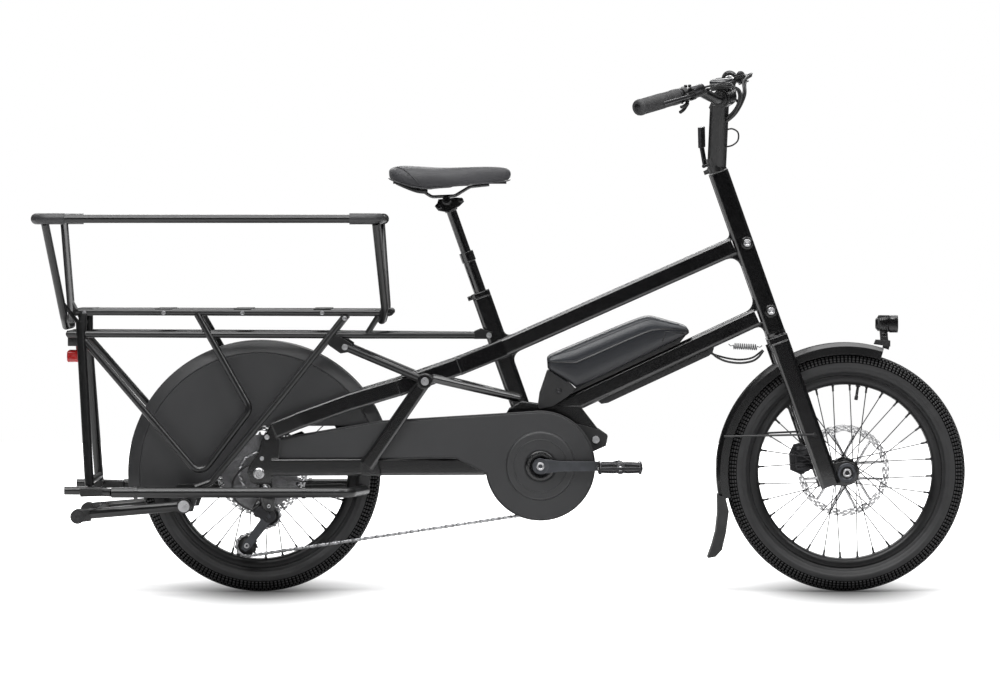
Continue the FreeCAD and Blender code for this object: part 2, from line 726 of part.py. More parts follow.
def seat_clamp_shape():
    """A square collar that continues the seat tube, split at the back between two ears."""
    collar = box_tube((0, 0, -11.95), (0, 0, 0), dim.seat_size, dim.seat_size, 8)
    collar = collar.fuse(box_tube((-30, 0, -6), (-15, 0, -6), 18, 10, 2))
    collar = collar.cut(z_rod(dim.post_dia / 2 + 0.05, -20, 10))
    collar = collar.cut(Part.makeBox(30, 1.6, 20, Vec(-40, -0.8, -16)))
    return collar.removeSplitter()


frame = frame_shape()
feature("frame", frame.removeSplitter())
make_head_bearings()
feature("seat_clamp", seat_clamp_shape(), SEAT_FRAME)


# ---------------------------------------------------------------- motor, chain case, cranks

def motor_shape():
    """A drum across the frame with two ears that reach the front bolt."""
    ear = [(110, 320), (140, 285), (190, 303), (224, 318), (228, 340), (208, 354), (160, 366),
           (100, 345)]
    pieces = [y_rod(75.5, -48, 50, CRANK.x, CRANK.z), y_rod(60, 50, 56, CRANK.x, CRANK.z),
              y_rod(22, 50, 72, CRANK.x, CRANK.z)]
    pieces += [slab(ear, y, y + 6) for y in (-33.0, 27.0)]
    motor = fuse(pieces).cut(y_rod(12.05, -100, 100, CRANK.x, CRANK.z))
    return motor.cut(y_rod(4.1, -40, 40, *MOTOR_BOLT))


def case_block(grow, y0, y1):
    """The chain case's outline as a solid block, grown all round."""
    block = y_rod(dim.case_r + grow, y0, y1, CRANK.x, CRANK.z)
    points = [(-510.8 - grow, 288.3 - grow), (-100.9, 292.6 - grow), (-27.6, 254.0 - grow),
              (60, 260), (81.3, 395.7 + grow), (-260.6, 374.6 + grow), (-486.0, 337.0 + grow)]
    return block.fuse(slab(points, y0, y1)).removeSplitter()


def chain_case_shape():
    """A tray open towards the wheel, with a round front end and a stepped edge."""
    case = case_block(0, -71.5, -61).fuse(case_block(-4, -74.5, -71.4))
    case = case.cut(case_block(-4, -71.5, -60))
    case = case.cut(y_rod(44, -90, -60, REAR.x, REAR.z))
    case = case.cut(y_rod(19, -100, -40, CRANK.x, CRANK.z))
    chain_stay = box_tube((-500, -dim.stay_y, 274), (-40, -52, 274), 17.0, 38.4, 5.0)
    return tidy(minus(case, chain_stay, frame), 2000)


def make_chainring_cover():
    body = new_body("chainring_cover")
    turn(body, [(-74.6, "$disc_r"), (-77.4, "$disc_r - 4"), (-77.4, 36.0), (-76.0, 33.0),
                (-76.0, 19.0), (-74.6, 19.0)])
    place(body, "$crank_x", "$crank_z")


def make_cable_cover():
    """A duct under the down tube for the cables."""
    body = new_body("cable_cover")
    profile = new_sketch(body)
    # distance along the down tube, depth below its underside
    stations = [(106, 0.1), (384, 0.1), (376, 9), (366, 12), (124, 12), (110, 8)]
    polygon(profile, [on_down_tube(along, -dim.down_depth / 2 - below)
                      for along, below in stations])
    step = body.newObject("PartDesign::Pad", "Pad")
    step.Profile = profile
    step.Midplane = True
    step.Length = 32.0
    doc.recompute()


def crank_arm(side):
    """The right arm points forwards and the left arm backwards."""
    ahead = -side
    y = side * 88.0
    outline = [(-4, -15), (14, -15), (40, -11), (155, -9.5), (170, -13), (182, -8), (184, 0),
               (182, 8), (170, 13), (155, 9.5), (40, 11), (14, 15), (-4, 15), (-15, 6),
               (-15, -6)]
    arm = slab([(CRANK.x + x * ahead, CRANK.z + z) for x, z in outline], y - 7, y + 7)
    arm = arm.fuse(y_rod(17, y - 8.5, y + 8.5, CRANK.x, CRANK.z))
    return arm.cut(y_rod(7.05, y - 30, y + 30, CRANK.x + ahead * dim.crank_len, CRANK.z))


def chainring_shape():
    """A toothed ring on a five-armed spider."""
    ring = toothed_disc(CRANK + Vec(0, -dim.chain_y - 1.0, 0), int(dim.ring_teeth),
                        3.6, 3.2, 0.08, 2.0)
    ring = ring.cut(y_rod(82, -70, -50, CRANK.x, CRANK.z))
    spider_y = -dim.chain_y - 4
    centre = CRANK + Vec(0, spider_y, 0)
    spider = [y_rod(30, spider_y, spider_y + 4, CRANK.x, CRANK.z).cut(
        y_rod(12.0, -66, -46, CRANK.x, CRANK.z))]
    for k in range(5):
        angle = math.radians(72 * k + 12)
        out = Vec(math.cos(angle), 0, math.sin(angle))
        beside = square_to(out)
        spider.append(prism([centre + out * 24 - beside * 12, centre + out * 24 + beside * 12,
                             centre + out * 88 + beside * 6, centre + out * 88 - beside * 6], 4))
    return ring.multiFuse(spider).removeSplitter()


def pedal_shape(side):
    """A body with two windows, a washer and a spindle that reaches into the arm."""
    x, z = CRANK.x - side * dim.crank_len, CRANK.z
    block = box_tube((x, side * 104.0, z), (x, side * 200.0, z), 26.0, 100.0, 7.0, up=Z_AXIS)
    for offset in (-29.0, 29.0):
        block = block.cut(box_tube((x + offset, side * 116.0, z), (x + offset, side * 188.0, z),
                                   40.0, 32.0, 5.0, up=Z_AXIS))
    return fuse([block, y_rod(7.0, *span(side, 81.5, 107.5), x, z),
                 y_rod(10.5, *span(side, 95.4, 104.0), x, z)])


motor = motor_shape()
feature("drive_motor", motor)
feature("chain_case", chain_case_shape())
make_chainring_cover()
make_cable_cover()
feature("crank_arms", fuse([crank_arm(RIGHT), crank_arm(LEFT),
                            y_rod(12, -88, 88, CRANK.x, CRANK.z)]))
feature("chainring", chainring_shape())
feature("pedal_right", pedal_shape(RIGHT))
feature("pedal_left", pedal_shape(LEFT))


# ---------------------------------------------------------------- rear wheel covers

def make_rear_mudguard():
    body = new_body("rear_mudguard")
    half = "$guard_y"
    outer = [(half, "$guard_flat"), (half, "$guard_flat + 3"), (half + " - 14", "$guard_r")]
    inner = [(half + " - 3", "$guard_flat"), (half + " - 3", "$guard_flat + 2"),
             (half + " - 15.5", "$guard_r - 3")]
    turn(body, channel(outer, inner), angle=165.0)
    place(body, "$rear_x", "$axle_z", Rot(Y_AXIS, -96.5))


def make_wheel_covers():
    """A disc on each side of the rear wheel, with the lower part cut away."""
    body = new_body("wheel_covers")
    body.AllowCompound = True
    for y in (dim.guard_y + dim.guard_thick, -dim.guard_y):
        profile = new_sketch(body, "XZ_Plane", -y)
        circle(profile, "$guard_flat - 0.2")
        pad(body, profile, "$guard_thick")
    profile = new_sketch(body)
    polygon(profile, [(-114.0, -32.0), (3.0, 101.4), (262.0, 101.4), (262.0, -262.0),
                      (-262.0, -262.0), (-262.0, -32.0)])
    before = body.Shape.Volume
    step = body.newObject("PartDesign::Pocket", "Pocket")
    step.Profile = profile
    step.Midplane = True
    step.Type = "ThroughAll"
    doc.recompute()
    assert body.Shape.Volume < before - 1e-6, body.Label + ": a pocket cut nothing"
    place(body, "$rear_x", "$axle_z")


make_rear_mudguard()
make_wheel_covers()


# ---------------------------------------------------------------- rack

DECK_BARS = (-903.0, -732.0, -562.0, -390.0)       # X of the plates across the deck


def rack_side(side):
    """The rails, struts and lugs of the rack on one side."""
    rail = dim.rail_dia
    plate = [(-382, 562), (-350, 556), (-326, 540), (-326, 524), (-350, 520), (-376, 538)]
    # lug that carries the stand's pivot and the back of the footrest
    lug = [(-717, 212), (-700, 239), (-650, 240), (-632, 228), (-660, 205), (-668, 180),
           (-700, 178)]
    return [
        tube([(-940.6, side * 80, 562.0), (-438, side * 80, 560), (-300, side * 76, 559),
              (-62, side * 27, 557.8)], rail, 60),
        tube([(-908, side * 82, 553.5), (-651.7, side * 112, 257.2),
              (-543.8, side * 100, 400.9), (-660, side * 78, 605.3)], rail, 22),
        tube([(-662, side * 125, 232), (-630, side * 118, 243), (-475.9, side * 100, 428.9),
              (-340.6, side * 80, 600)], rail, 25),
        rod((-340.9, side * 84, 533.8), (-182, side * 86, 467), 16),
        rod((-345, side * 77, 600), (-364, side * 80, 560), 11),
        rod((-270, side * 75, 600), (-294, side * 76, 562), 11),
        rod((-912, side * 80, 588), (-889, side * 126, 236), 20),
        slab(plate, *span(side, 72, 88)),
        rod((-907, side * 80, 562), (-907, side * 80, 606), 18),
        slab(lug, *span(side, 100, 112)),
        y_rod(9.0, *span(side, 108, 124), -662, 231),
        y_rod(9.95, *span(side, 111, 140), dim.stand_x, dim.stand_z)]


def rack_pieces():
    tongue = [(-62, 550), (-33, 550), (-22, 565), (-48, 572), (-62, 566)]
    return rack_side(RIGHT) + rack_side(LEFT) + [
        rod((-936, -80, 562), (-936, 80, 562), dim.rail_dia),
        rod((-30, -27, 557.8), (-30, -21, 557.8), 8),
        slab(tongue, -33, -21),
        slab(tongue, 21, 33),
        rod((-888, -126, 246), (-888, 126, 246), 16)]


def deck_shape():
    """Two rails, two end bars, four cross plates with holes, and two long strips."""
    y, z, rail = dim.deck_y, dim.deck_z, dim.rail_dia
    rear_end, front_end = -921.6, -243.5
    pieces = [tube([(rear_end, side * y, z + 2), (front_end, side * y, z)], rail)
              for side in SIDES]
    for x in DECK_BARS:
        pieces.append(slab([(x - 19, z + 2), (x + 19, z + 2), (x + 19, z + 9.5),
                            (x - 19, z + 9.5)], -y - 5, y + 5))
    for x in (rear_end, front_end):
        pieces.append(rod((x, -y - 7, z + 1), (x, y + 7, z + 1), rail))
    for strip_y in (-27, 27):
        pieces.append(slab([(-921, z - 3), (-921, z + 2), (-244, z + 2), (-244, z - 3)],
                           strip_y - 14, strip_y + 14))
    holes = [z_rod(3.3, z - 20, z + 20, x, side * 50.0) for x in DECK_BARS for side in SIDES]
    return fuse(pieces).cut(holes[0].multiFuse(holes[1:])).removeSplitter()


def footrest_shape():
    y, z, dia = dim.foot_y, dim.foot_z, dim.foot_dia
    pieces = []
    for side in SIDES:
        pieces += [
            tube([(-837.8, side * y, z), (-330, side * y, z), (-298, side * 70, z)], dia, 26),
            slab([(-313, z + 4), (-288, z + 4), (-286, 255.4), (-310, 255.4)],
                 *span(side, 66, 80)),
            tube([(-940.8, side * 152, z + 3), (-900, side * 152, z + 3),
                  (-838, side * 174, z)], 18, 30),
            rod((-888, side * 116, 228), (-888, side * 152, z + 3), 16),
            slab([(-905, z - 9), (-838, z - 7), (-838, z + 7), (-905, z + 9)],
                 *span(side, 150, 176)),
            rod((-650, side * 112.2, z + 2), (-650, side * y, z), 14)]
        for x in (-790, -430):
            pieces.append(rod((x, side * y, z), (x + 8, side * y, z), dia + 4))
    return fuse(pieces)


RING_REAR, RING_FRONT = -994, -264                 # X of the guard rail's end bars


def guard_shape():
    """The guard rail round the passengers, with its uprights and two cross bars."""
    y, z, dia = dim.ring_y, dim.ring_z, dim.ring_dia
    pieces = [tube([(x, -y + 22, z), (x, y - 22, z)], dia) for x in (RING_REAR, RING_FRONT)]
    for side in SIDES:
        top_y = side * (y - 8)
        pieces += [
            tube([(-962, side * y, z), (-290, side * y, z)], dia),
            tube([(-974, top_y, z - 9.4), (-946, side * 94, 600), (-944, side * 60, 578)],
                 17, 30),
            tube([(-270, top_y, z - 9.4), (-254, side * 98, 618), (-262, side * 60, 590)],
                 17, 30),
            rod((-950, side * 118, 634), (-920, side * 62, 588), 9)]
    pieces.append(rod((-944, -66, 578.4), (-944, 66, 578.4), 15))
    pieces.append(rod((-262, -66, 590.4), (-262, 66, 590.4), 15))
    return fuse([minus(piece, deck, rack) for piece in pieces])


def guard_joints_shape():
    """A bent sleeve at each corner of the guard rail."""
    solids = []
    for x, inward in ((RING_REAR, 1), (RING_FRONT, -1)):
        for side in (LEFT, RIGHT):
            y = side * dim.ring_y
            sleeve = tube([(x, y - side * 60, dim.ring_z), (x, y, dim.ring_z),
                           (x + inward * 62, y, dim.ring_z)], 24, 34)
            solids += [s for s in minus(sleeve, guard).Solids if s.Volume > 200]
    return Part.makeCompound(solids)


def tail_light_shape():
    light = box_tube((-943, 0, 512.4), (-922, 0, 512.4), 58, 26, 8)
    bracket = slab([(-926, 519), (-918, 519), (-918, 556), (-930, 556)], -14, 14)
    return tidy(minus(light.fuse(bracket).removeSplitter(), rack))


deck = deck_shape()
footrests = footrest_shape()
rack = fuse([minus(piece, deck, footrests, frame) for piece in rack_pieces()])
guard = guard_shape()
feature("rack_deck", tidy(deck))
feature("footrests", tidy(footrests))
feature("guard_joints", guard_joints_shape())
feature("guard_rail", tidy(guard))
feature("rack_frame", tidy(rack))
feature("tail_light", tail_light_shape())


# ---------------------------------------------------------------- stand

STAND_END = Vec(dim.stand_x - dim.stand_len, 0, 173.0)


def stand_shape():
    """Two legs on the rack's pivots, joined near the feet."""
    x, y, z = dim.stand_x, dim.stand_y, dim.stand_z
    pieces = []
    for side in SIDES:
        eye = y_rod(16, *span(side, y - 10, y + 10), x, z)
        leg = rod((x - 8, side * y, z), (STAND_END.x + 6, side * y, STAND_END.z + 1.0), 22)
        pieces.append(eye.fuse(leg).cut(y_rod(10.0, *span(side, y - 20, y + 20), x, z)))
    bar_x, bar_z = STAND_END.x + 42, STAND_END.z + 3
    pieces.append(rod((bar_x, -y, bar_z), (bar_x, y, bar_z), 18))
    return fuse(pieces)


def stand_feet_shape():
    """A round foot with a socket on the end of each leg."""
    x, z = STAND_END.x + 4, STAND_END.z - 2.0
    solids = []
    for side in SIDES:
        y = side * dim.stand_y
        foot = y_rod(15.5, y - 19, y + 19, x, z).fuse(
            rod((x, y, z), (STAND_END.x + 30, y, STAND_END.z + 1.0), 27))
        solids += [s for s in foot.cut(stand).removeSplitter().Solids if s.Volume > 500]
    return Part.makeCompound(solids)


stand = stand_shape()
feature("stand_legs", stand)
feature("stand_feet", stand_feet_shape())


# ---------------------------------------------------------------- seat

def make_outer_post():
    body = new_body("seatpost_outer")
    turn(body, [("$post_bore/2", -170.0), ("$post_dia/2", -170.0), ("$post_dia/2", 70.0),
                (15.5, 70.0), (15.5, 92.0), ("$inner_dia/2 + $run_gap", 92.0),
                ("$inner_dia/2 + $run_gap", 60.0), ("$post_bore/2", 56.0)],
         plane="XZ_Plane", axis="V_Axis")
    body.Placement = SEAT_FRAME


def inner_post_shape():
    """The inner post and the clamp on its top, cut to fit the saddle rails."""
    post = z_rod(dim.inner_dia / 2, -70, 192).fuse(z_rod(14, 186, 196))
    post.Placement = SEAT_FRAME
    clamp = [(-142, 845), (-148, 838), (-140, 828), (-118, 824), (-94, 838), (-84, 848),
             (-88, 856), (-100, 857), (-140, 853)]
    head = fuse([post, slab(clamp, -15, 15), y_rod(9, -29, 29, -122, 851),
                 y_rod(5, -18, 18, -138.7, 836.5), y_rod(5, -18, 18, -90.8, 851.7)])
    return head.cut(saddle_rails[0]).cut(saddle_rails[1]).removeSplitter()


def saddle_rail(side):
    return tube([(-200, side * 25, 884.5), (-171.3, side * 23, 869.1),
                 (-153.9, side * 22, 858.1), (-103.9, side * 22, 860.4),
                 (-71.3, side * 18, 880.2), (-30, side * 7, 884.5)], 7, 18)


def saddle_section(x, half, top, low, middle):
    """One outline across the saddle: rounded over the top, its underside at middle in Z."""
    height = top - low
    # share of the half width, Z
    points = [(0.0, top), (0.45, top - 0.04 * height), (0.80, top - 0.18 * height),
              (0.97, top - 0.42 * height), (1.0, top - 0.65 * height),
              (0.95, low + 0.06 * height), (0.80, low), (0.35, max(low + 0.5, middle)),
              (0.0, max(low + 0.6, middle + 0.1))]
    corners = [Vec(x, half * share, z) for share, z in points]
    corners += [Vec(x, -half * share, z) for share, z in points[-2:0:-1]]
    return Part.makePolygon(corners + [corners[0]])


# X, half width, top Z, edge's lowest Z, Z of the underside's middle
SADDLE_STATIONS = [
    (-249, 30, 912, 899, 900), (-240, 52, 918, 893, 897), (-212, 70, 921.5, 882, 895),
    (-170, 77, 921, 873, 893), (-132, 64, 918, 873, 892), (-92, 44, 916, 880, 892),
    (-48, 30, 917, 888, 893), (-5, 23, 916, 893, 895), (12, 18, 912, 895, 896),
    (19, 9, 908, 898, 899)]
# X, half width of the plate under the pad
SHELL_STATIONS = [(-238, 15), (-215, 30), (-170, 32), (-132, 24), (-92, 15), (-48, 10), (8, 7)]


def saddle_shell_shape():
    z = 886.6
    corners = [Vec(x, half, z) for x, half in SHELL_STATIONS]
    corners += [Vec(x, -half, z) for x, half in SHELL_STATIONS[::-1]]
    shell = Part.Face(Part.makePolygon(corners + [corners[0]])).extrude(Vec(0, 0, 5.2))
    return tidy(minus(shell, saddle_pad, *saddle_rails))


make_outer_post()
saddle_rails = [saddle_rail(side) for side in SIDES]
feature("seatpost_inner", Part.makeCompound([inner_post_shape()] + saddle_rails))
saddle_pad = Part.makeLoft([saddle_section(*row) for row in SADDLE_STATIONS], True, True)
feature("saddle_shell", saddle_shell_shape())
feature("saddle_pad", tidy(saddle_pad))


# ---------------------------------------------------------------- battery and its dock

def make_battery():
    body = new_body("battery")
    profile = new_sketch(body)
    polygon(profile, [(97.5, 484.5), (95.5, 511.4), (101.0, 515.5), (297.9, 597.6),
                      (319.6, 602.0), (397.4, 580.5), (405.7, 563.4), (397.0, 557.5),
                      (161.0, 445.2), (158.5, 444.2), (150.0, 452.0)])
    core = pad(body, profile, "$battery_width", mid=True)
    # side edges along the top and the front end
    edges = []
    for i, edge in enumerate(core.Shape.Edges, 1):
        mid = edge.valueAt((edge.FirstParameter + edge.LastParameter) / 2)
        on_side = abs(abs(mid.y) - dim.battery_width / 2) < 0.1
        if on_side and (mid.z > 520 + (mid.x - 100) * 0.36 or mid.x > 399):
            edges.append("Edge%d" % i)
    chamfer = body.newObject("PartDesign::Chamfer", "Chamfer")
    chamfer.Base = (core, edges)
    chamfer.Size = 9.0
    body.Tip = chamfer
    doc.recompute()
    # a smaller chamfer, should the short edges not hold the full one
    if "Invalid" in chamfer.State or "Error" in chamfer.State or body.Shape.isNull():
        chamfer.Size = 4.0
        doc.recompute()


def dock_shape():
    """A cradle between the down tube and the battery, with a block at its lower end."""
    above = 20.1
    cradle = slab([on_down_tube(62, above), on_down_tube(318, above), (396.5, 556.9),
                   (161.5, 445.0)], -30, 30)
    block = slab([(76, 402), (80, 431), (96.6, 480.5), (100, 482.5), (149.5, 450.3),
                  (157.6, 441.8), (140, 425), (110, 405), (80, 398)], -38, 38)
    return tidy(minus(cradle.fuse(block), nodes["battery"].Shape, frame), 300)


make_battery()
feature("battery_dock", dock_shape())


# ---------------------------------------------------------------- fork and front end

def fork_shape():
    """Steerer, race seat, crown, legs and dropouts, drawn in the steering frame."""
    axle_x, axle_z = 42.8, -706.7
    race_z = -(dim.head_len + 10.4)
    dropout = [(-15, -676), (14, -676), (52, -682), (66, -694), (70, -708), (64, -722),
               (48, -732), (30, -732), (4, -722), (-12, -714)]
    pieces = [z_rod(dim.steerer_dia / 2, -400, 14), z_rod(22.6, race_z, race_z + 10),
              slab([(-21, -378), (-21, -416), (21, -416), (21, -378)], -66, 66)]
    for side in SIDES:
        pieces.append(box_tube((0, side * 62, -392), (0, side * 62, -722), 20, 42, 7))
        pieces.append(slab(dropout, *span(side, 55.1, 63)))
    fork = fuse(pieces).cut(y_rod(dim.axle_dia / 2 + 0.1, -100, 100, axle_x, axle_z))
    return moved(fork.removeSplitter(), STEER_FRAME)


def make_front_mudguard():
    body = new_body("front_mudguard")
    half = "$fguard_width/2"
    outer = [(half, "$axle_z - 5"), (half, "$fguard_r - 8"), (half + " - 9", "$fguard_r")]
    inner = [(half + " - 2", "$axle_z - 5"), (half + " - 2", "$fguard_r - 9"),
             (half + " - 10", "$fguard_r - 2")]
    turn(body, channel(outer, inner), angle=119.5)
    place(body, "$front_x", "$axle_z", Rot(Y_AXIS, -102.5))


def front_stay(side):
    """A thin rod from the mudguard's edge to an eye beside the fork leg."""
    angle = math.radians(163.6)
    top = FRONT + Vec(math.cos(angle) * 272, 0, math.sin(angle) * 272)
    wire = tube([(top.x - 4, side * 35.4, top.z + 1), (top.x + 12, side * 37.5, top.z + 1.2),
                 (640, side * 74.6, 344), (672, side * 74.6, 344)], 4.5, 12)
    return wire.fuse(y_rod(4.5, *span(side, 72.1, 74.6), 674, 344))


def mud_flap_shape():
    """A flap with side walls, open towards the front wheel."""
    flap = slab([(466.5, 212), (467.5, 172), (463, 130), (455, 100), (446, 74), (462, 77),
                 (476, 92), (485, 130), (491, 176), (484, 205)], -33.6, 33.6)
    flap = flap.cut(slab([(470.0, 214), (471.0, 172), (466.6, 130), (458.6, 100), (448.5, 60),
                          (500, 60), (500, 214)], -31.4, 31.4))
    return flap.cut(nodes["front_mudguard"].Shape).removeSplitter()


def headlight_shape():
    """A flared lamp facing forwards, its top lug, and its bracket on the mudguard."""
    forward = Vec(1, 0, 0)
    lamp = Part.makeCylinder(15.5, 30, Vec(815, 0, 582), forward)
    lamp = lamp.fuse(Part.makeCone(15.5, 19, 14, Vec(844.9, 0, 582), forward))
    lamp = lamp.fuse([
        slab([(822, 545), (838, 545), (836, 572), (820, 572)], -10, 10),
        slab([(808, 538), (842, 533), (842, 546), (812, 548)], -16, 16),
        slab([(812, 590), (846, 590), (840, 601), (818, 601)], -9, 9)]).removeSplitter()
    lamp = lamp.fuse(slab([(826, 526), (838, 520), (841, 534), (828, 538)], -8, 8))
    lamp = lamp.cut(nodes["front_mudguard"].Shape)
    lamp = lamp.cut(y_rod(dim.fguard_r + 0.05, -100, 100, FRONT.x, FRONT.z))
    return largest(lamp.removeSplitter())


def caliper_shape(axle, rotor_y, outline, foot, foot_y, mount):
    """A block slotted for the rotor, with a foot on its outer side, cut to fit its mount."""
    caliper = slab(outline, rotor_y - 15, rotor_y + 15)
    caliper = caliper.cut(y_rod(102, rotor_y - 3, rotor_y + 3, axle.x, axle.z))
    caliper = caliper.fuse(slab(foot, rotor_y + 9, foot_y)).removeSplitter()
    return largest(minus(caliper, mount))


def spring_shape():
    """The steering spring as a thick bar on a thin one, from the down tube to the crown."""
    start, end = Vec(488, 0, 534.4), Vec(566, 0, 530.6)
    coil_start, coil_end = start + (end - start) * 0.18, start + (end - start) * 0.82
    coil = rod(coil_start, coil_end, 15.0)
    spring = coil.fuse([rod(start, end, 3.2)]).removeSplitter()
    return largest(minus(spring, frame, fork))


fork = fork_shape()
feature("fork", fork)
make_front_mudguard()
feature("front_stays", Part.makeCompound([front_stay(side) for side in SIDES]))
feature("mud_flap", mud_flap_shape())
feature("headlight", headlight_shape())
feature("front_caliper", caliper_shape(
    FRONT, front_rotor_y,
    outline=[(628, 262), (652, 252), (668, 262), (670, 300), (655, 322), (636, 318),
             (626, 296)],
    foot=[(655, 268), (676, 262), (684, 300), (655, 312)],
    foot_y=front_rotor_y + 15, mount=fork))
feature("rear_caliper", caliper_shape(
    REAR, rear_rotor_y,
    outline=[(-452, 285), (-428, 284), (-416, 300), (-420, 330), (-440, 346), (-462, 338)],
    foot=[(-456, 300), (-430, 292), (-426, 330), (-452, 338)],
    foot_y=75.9, mount=frame))
feature("steering_spring", spring_shape())


# ---------------------------------------------------------------- stem and bars

BAR_X, BAR_Z = 71.4, 147.2                         # the bar's middle, in the bar frame
TIP_X, TIP_Z = -11.2, 186                          # the bar's ends
BEND_X, BEND_Y, BEND_Z = 58, 98, 180               # where the grip sections start

# the right grip's own directions: inwards along the bar, and forwards
GRIP_TIP = Vec(TIP_X, -dim.bar_half, TIP_Z)
GRIP_DIR = (Vec(BEND_X, -BEND_Y, BEND_Z) - GRIP_TIP).normalize()
GRIP_AHEAD = Vec(GRIP_DIR.y, -GRIP_DIR.x, 0).normalize()


def at_grip(inward, up=0.0, ahead=0.0):
    """A point inward from the right tip of the bar, raised and set forward."""
    return GRIP_TIP + GRIP_DIR * inward + Vec(0, 0, up) + GRIP_AHEAD * ahead


LEVER_PIVOT = at_grip(140, -9, 33)


def stem_shape():
    """Two collars on the steerer, a sloping post, the bar clamp and two small blocks."""
    stem = fuse([z_rod(20.5, 0.6, 15.6), z_rod(18.5, 14, 34),
                 box_tube((2, 0, 14), (55, 0, 136), 36, 38, 12),
                 y_rod(20, -23, 23, BAR_X, BAR_Z),
                 slab([(40, 118), (84, 130), (88, 146), (74, 166), (58, 160), (36, 138)],
                      -17, 17),
                 slab([(-29, 3), (-14, 3), (-14, 14), (-29, 12)], -8, 8)])
    stem = stem.cut(y_rod(15.95, -40, 40, BAR_X, BAR_Z))
    return stem.cut(z_rod(dim.steerer_dia / 2 + 0.05, -1, 14)).removeSplitter()


def bar_shape():
    points = [(TIP_X, -dim.bar_half, TIP_Z), (BEND_X, -BEND_Y, BEND_Z), (BAR_X, -46, BAR_Z),
              (BAR_X, 46, BAR_Z), (BEND_X, BEND_Y, BEND_Z), (TIP_X, dim.bar_half, TIP_Z)]
    bar = tube(points, dim.bar_dia, 45)
    return bar.fuse(y_rod(15.9, -30, 30, BAR_X, BAR_Z)).removeSplitter()


def right_grip():
    grip = Part.makeCylinder(dim.grip_dia / 2, dim.grip_len - 1, GRIP_TIP - GRIP_DIR * 2.0,
                             GRIP_DIR)
    collar = Part.makeCylinder(dim.grip_dia / 2 + 2, 9, GRIP_TIP + GRIP_DIR * 1.0, GRIP_DIR)
    return largest(grip.fuse(collar).removeSplitter().cut(bar))


def right_control():
    """Brake clamp and cylinder, a pod inboard of them, and two plates with the lever's pin."""
    clamp = Part.makeCylinder(16, 13, at_grip(140), GRIP_DIR)
    link = box_tube(at_grip(147, -3, 8), at_grip(147, -8, 22), 12, 12, 3, up=GRIP_DIR)
    master = rod(at_grip(132, -9, 21), at_grip(190, -7, 24), 16)
    pod = box_tube(at_grip(157, 0.3, -2), at_grip(177, 1.3, -2), 34, 30, 6, up=Z_AXIS)
    plates = [box_tube(at_grip(151, z, 19), at_grip(137.5, z, 36), 11, 3, 1, up=GRIP_DIR)
              for z in (-16.6, -1.4)]
    pivot = LEVER_PIVOT
    control = fuse([clamp, link, master, pod] + plates)
    slot = z_rod(8.2, pivot.z - 4.7, pivot.z + 4.7, pivot.x, pivot.y)
    control = minus(control, slot, bar)
    pin = rod(pivot + Vec(0, 0, -7.0), pivot + Vec(0, 0, 7.0), 6)
    return largest(fuse([control, pin]))


def right_lever():
    """The brake lever's blade, with an eye for its pin."""
    x, y, z = LEVER_PIVOT
    blade = tube([LEVER_PIVOT, at_grip(112, -9, 40), at_grip(30, -9, 46)], 7.5, 14)
    blade = blade.fuse(z_rod(6.5, z - 3.75, z + 3.75, x, y)).removeSplitter()
    return blade.cut(z_rod(3.05, z - 10, z + 10, x, y))


def stem_lever_shape():
    """The quick-release lever behind the stem, on its pin."""
    x, z = -24.0, 22.0
    lever = rod((x, -9, z), (x, 9, z), 8).fuse([
        box_tube((x, 0, z), (x + 8, 0, z + 44), 16, 6, 2),
        box_tube((x + 7.2, 0, z + 40), (x + 22, 0, z + 82), 26, 9, 3)]).removeSplitter()
    return largest(moved(lever, BAR_FRAME).cut(nodes["stem_post"].Shape))


stem = stem_shape()
bar = bar_shape()
grip = right_grip()
control = right_control()
lever_right = right_lever()
lever_left = mirror_y(lever_right)
display = box_tube((58, 0, 176), (96, 0, 168), 52, 14, 4)      # above the bar clamp
controls = Part.makeCompound([minus(piece, lever_right, lever_left, stem, bar)
                              for piece in (control, mirror_y(control), display)])
grips = Part.makeCompound([grip, mirror_y(grip)])
for label, shape in (("stem_post", stem), ("handlebar", bar), ("grips", grips),
                     ("controls", controls), ("brake_lever_right", lever_right),
                     ("brake_lever_left", lever_left)):
    feature(label, moved(shape, BAR_FRAME))
feature("stem_lever", stem_lever_shape())


# ---------------------------------------------------------------- chain and derailleur

GUIDE, TENSION = Vec(-505.0, 0, 168.0), Vec(-554.3, 0, 102.9)      # pulley centres
PULLEY_TEETH = 11
CHAIN_FRONT_Y = -dim.chain_y
CHAIN_REAR_Y = COG_Y + CHAIN_COG * COG_STEP + COG_THICK / 2


def chain_y_at(x):
    """The chain runs slightly across the wheel, from its sprocket to the ring."""
    share = min(1.0, max(0.0, (x + 480.0) / 450.0))
    return CHAIN_REAR_Y + (CHAIN_FRONT_Y - CHAIN_REAR_Y) * share


def tangent(centre1, radius1, centre2, radius2):
    """X, Z where a belt leaves circle 1 and meets circle 2; radii are signed, + clockwise."""
    dx, dz = centre2.x - centre1.x, centre2.z - centre1.z
    angle = math.atan2(dz, dx) + math.acos((radius1 - radius2) / math.hypot(dx, dz))
    return [(c.x + r * math.cos(angle), c.z + r * math.sin(angle))
            for c, r in ((centre1, radius1), (centre2, radius2))]


def arc_points(centre, radius, start, end, clockwise, count):
    angle0 = math.atan2(start[1] - centre.z, start[0] - centre.x)
    angle1 = math.atan2(end[1] - centre.z, end[0] - centre.x)
    if clockwise:
        while angle1 > angle0:
            angle1 -= 2 * math.pi
    else:
        while angle1 < angle0:
            angle1 += 2 * math.pi
    angles = [angle0 + (angle1 - angle0) * k / count for k in range(count + 1)]
    return [(centre.x + radius * math.cos(a), centre.z + radius * math.sin(a)) for a in angles]


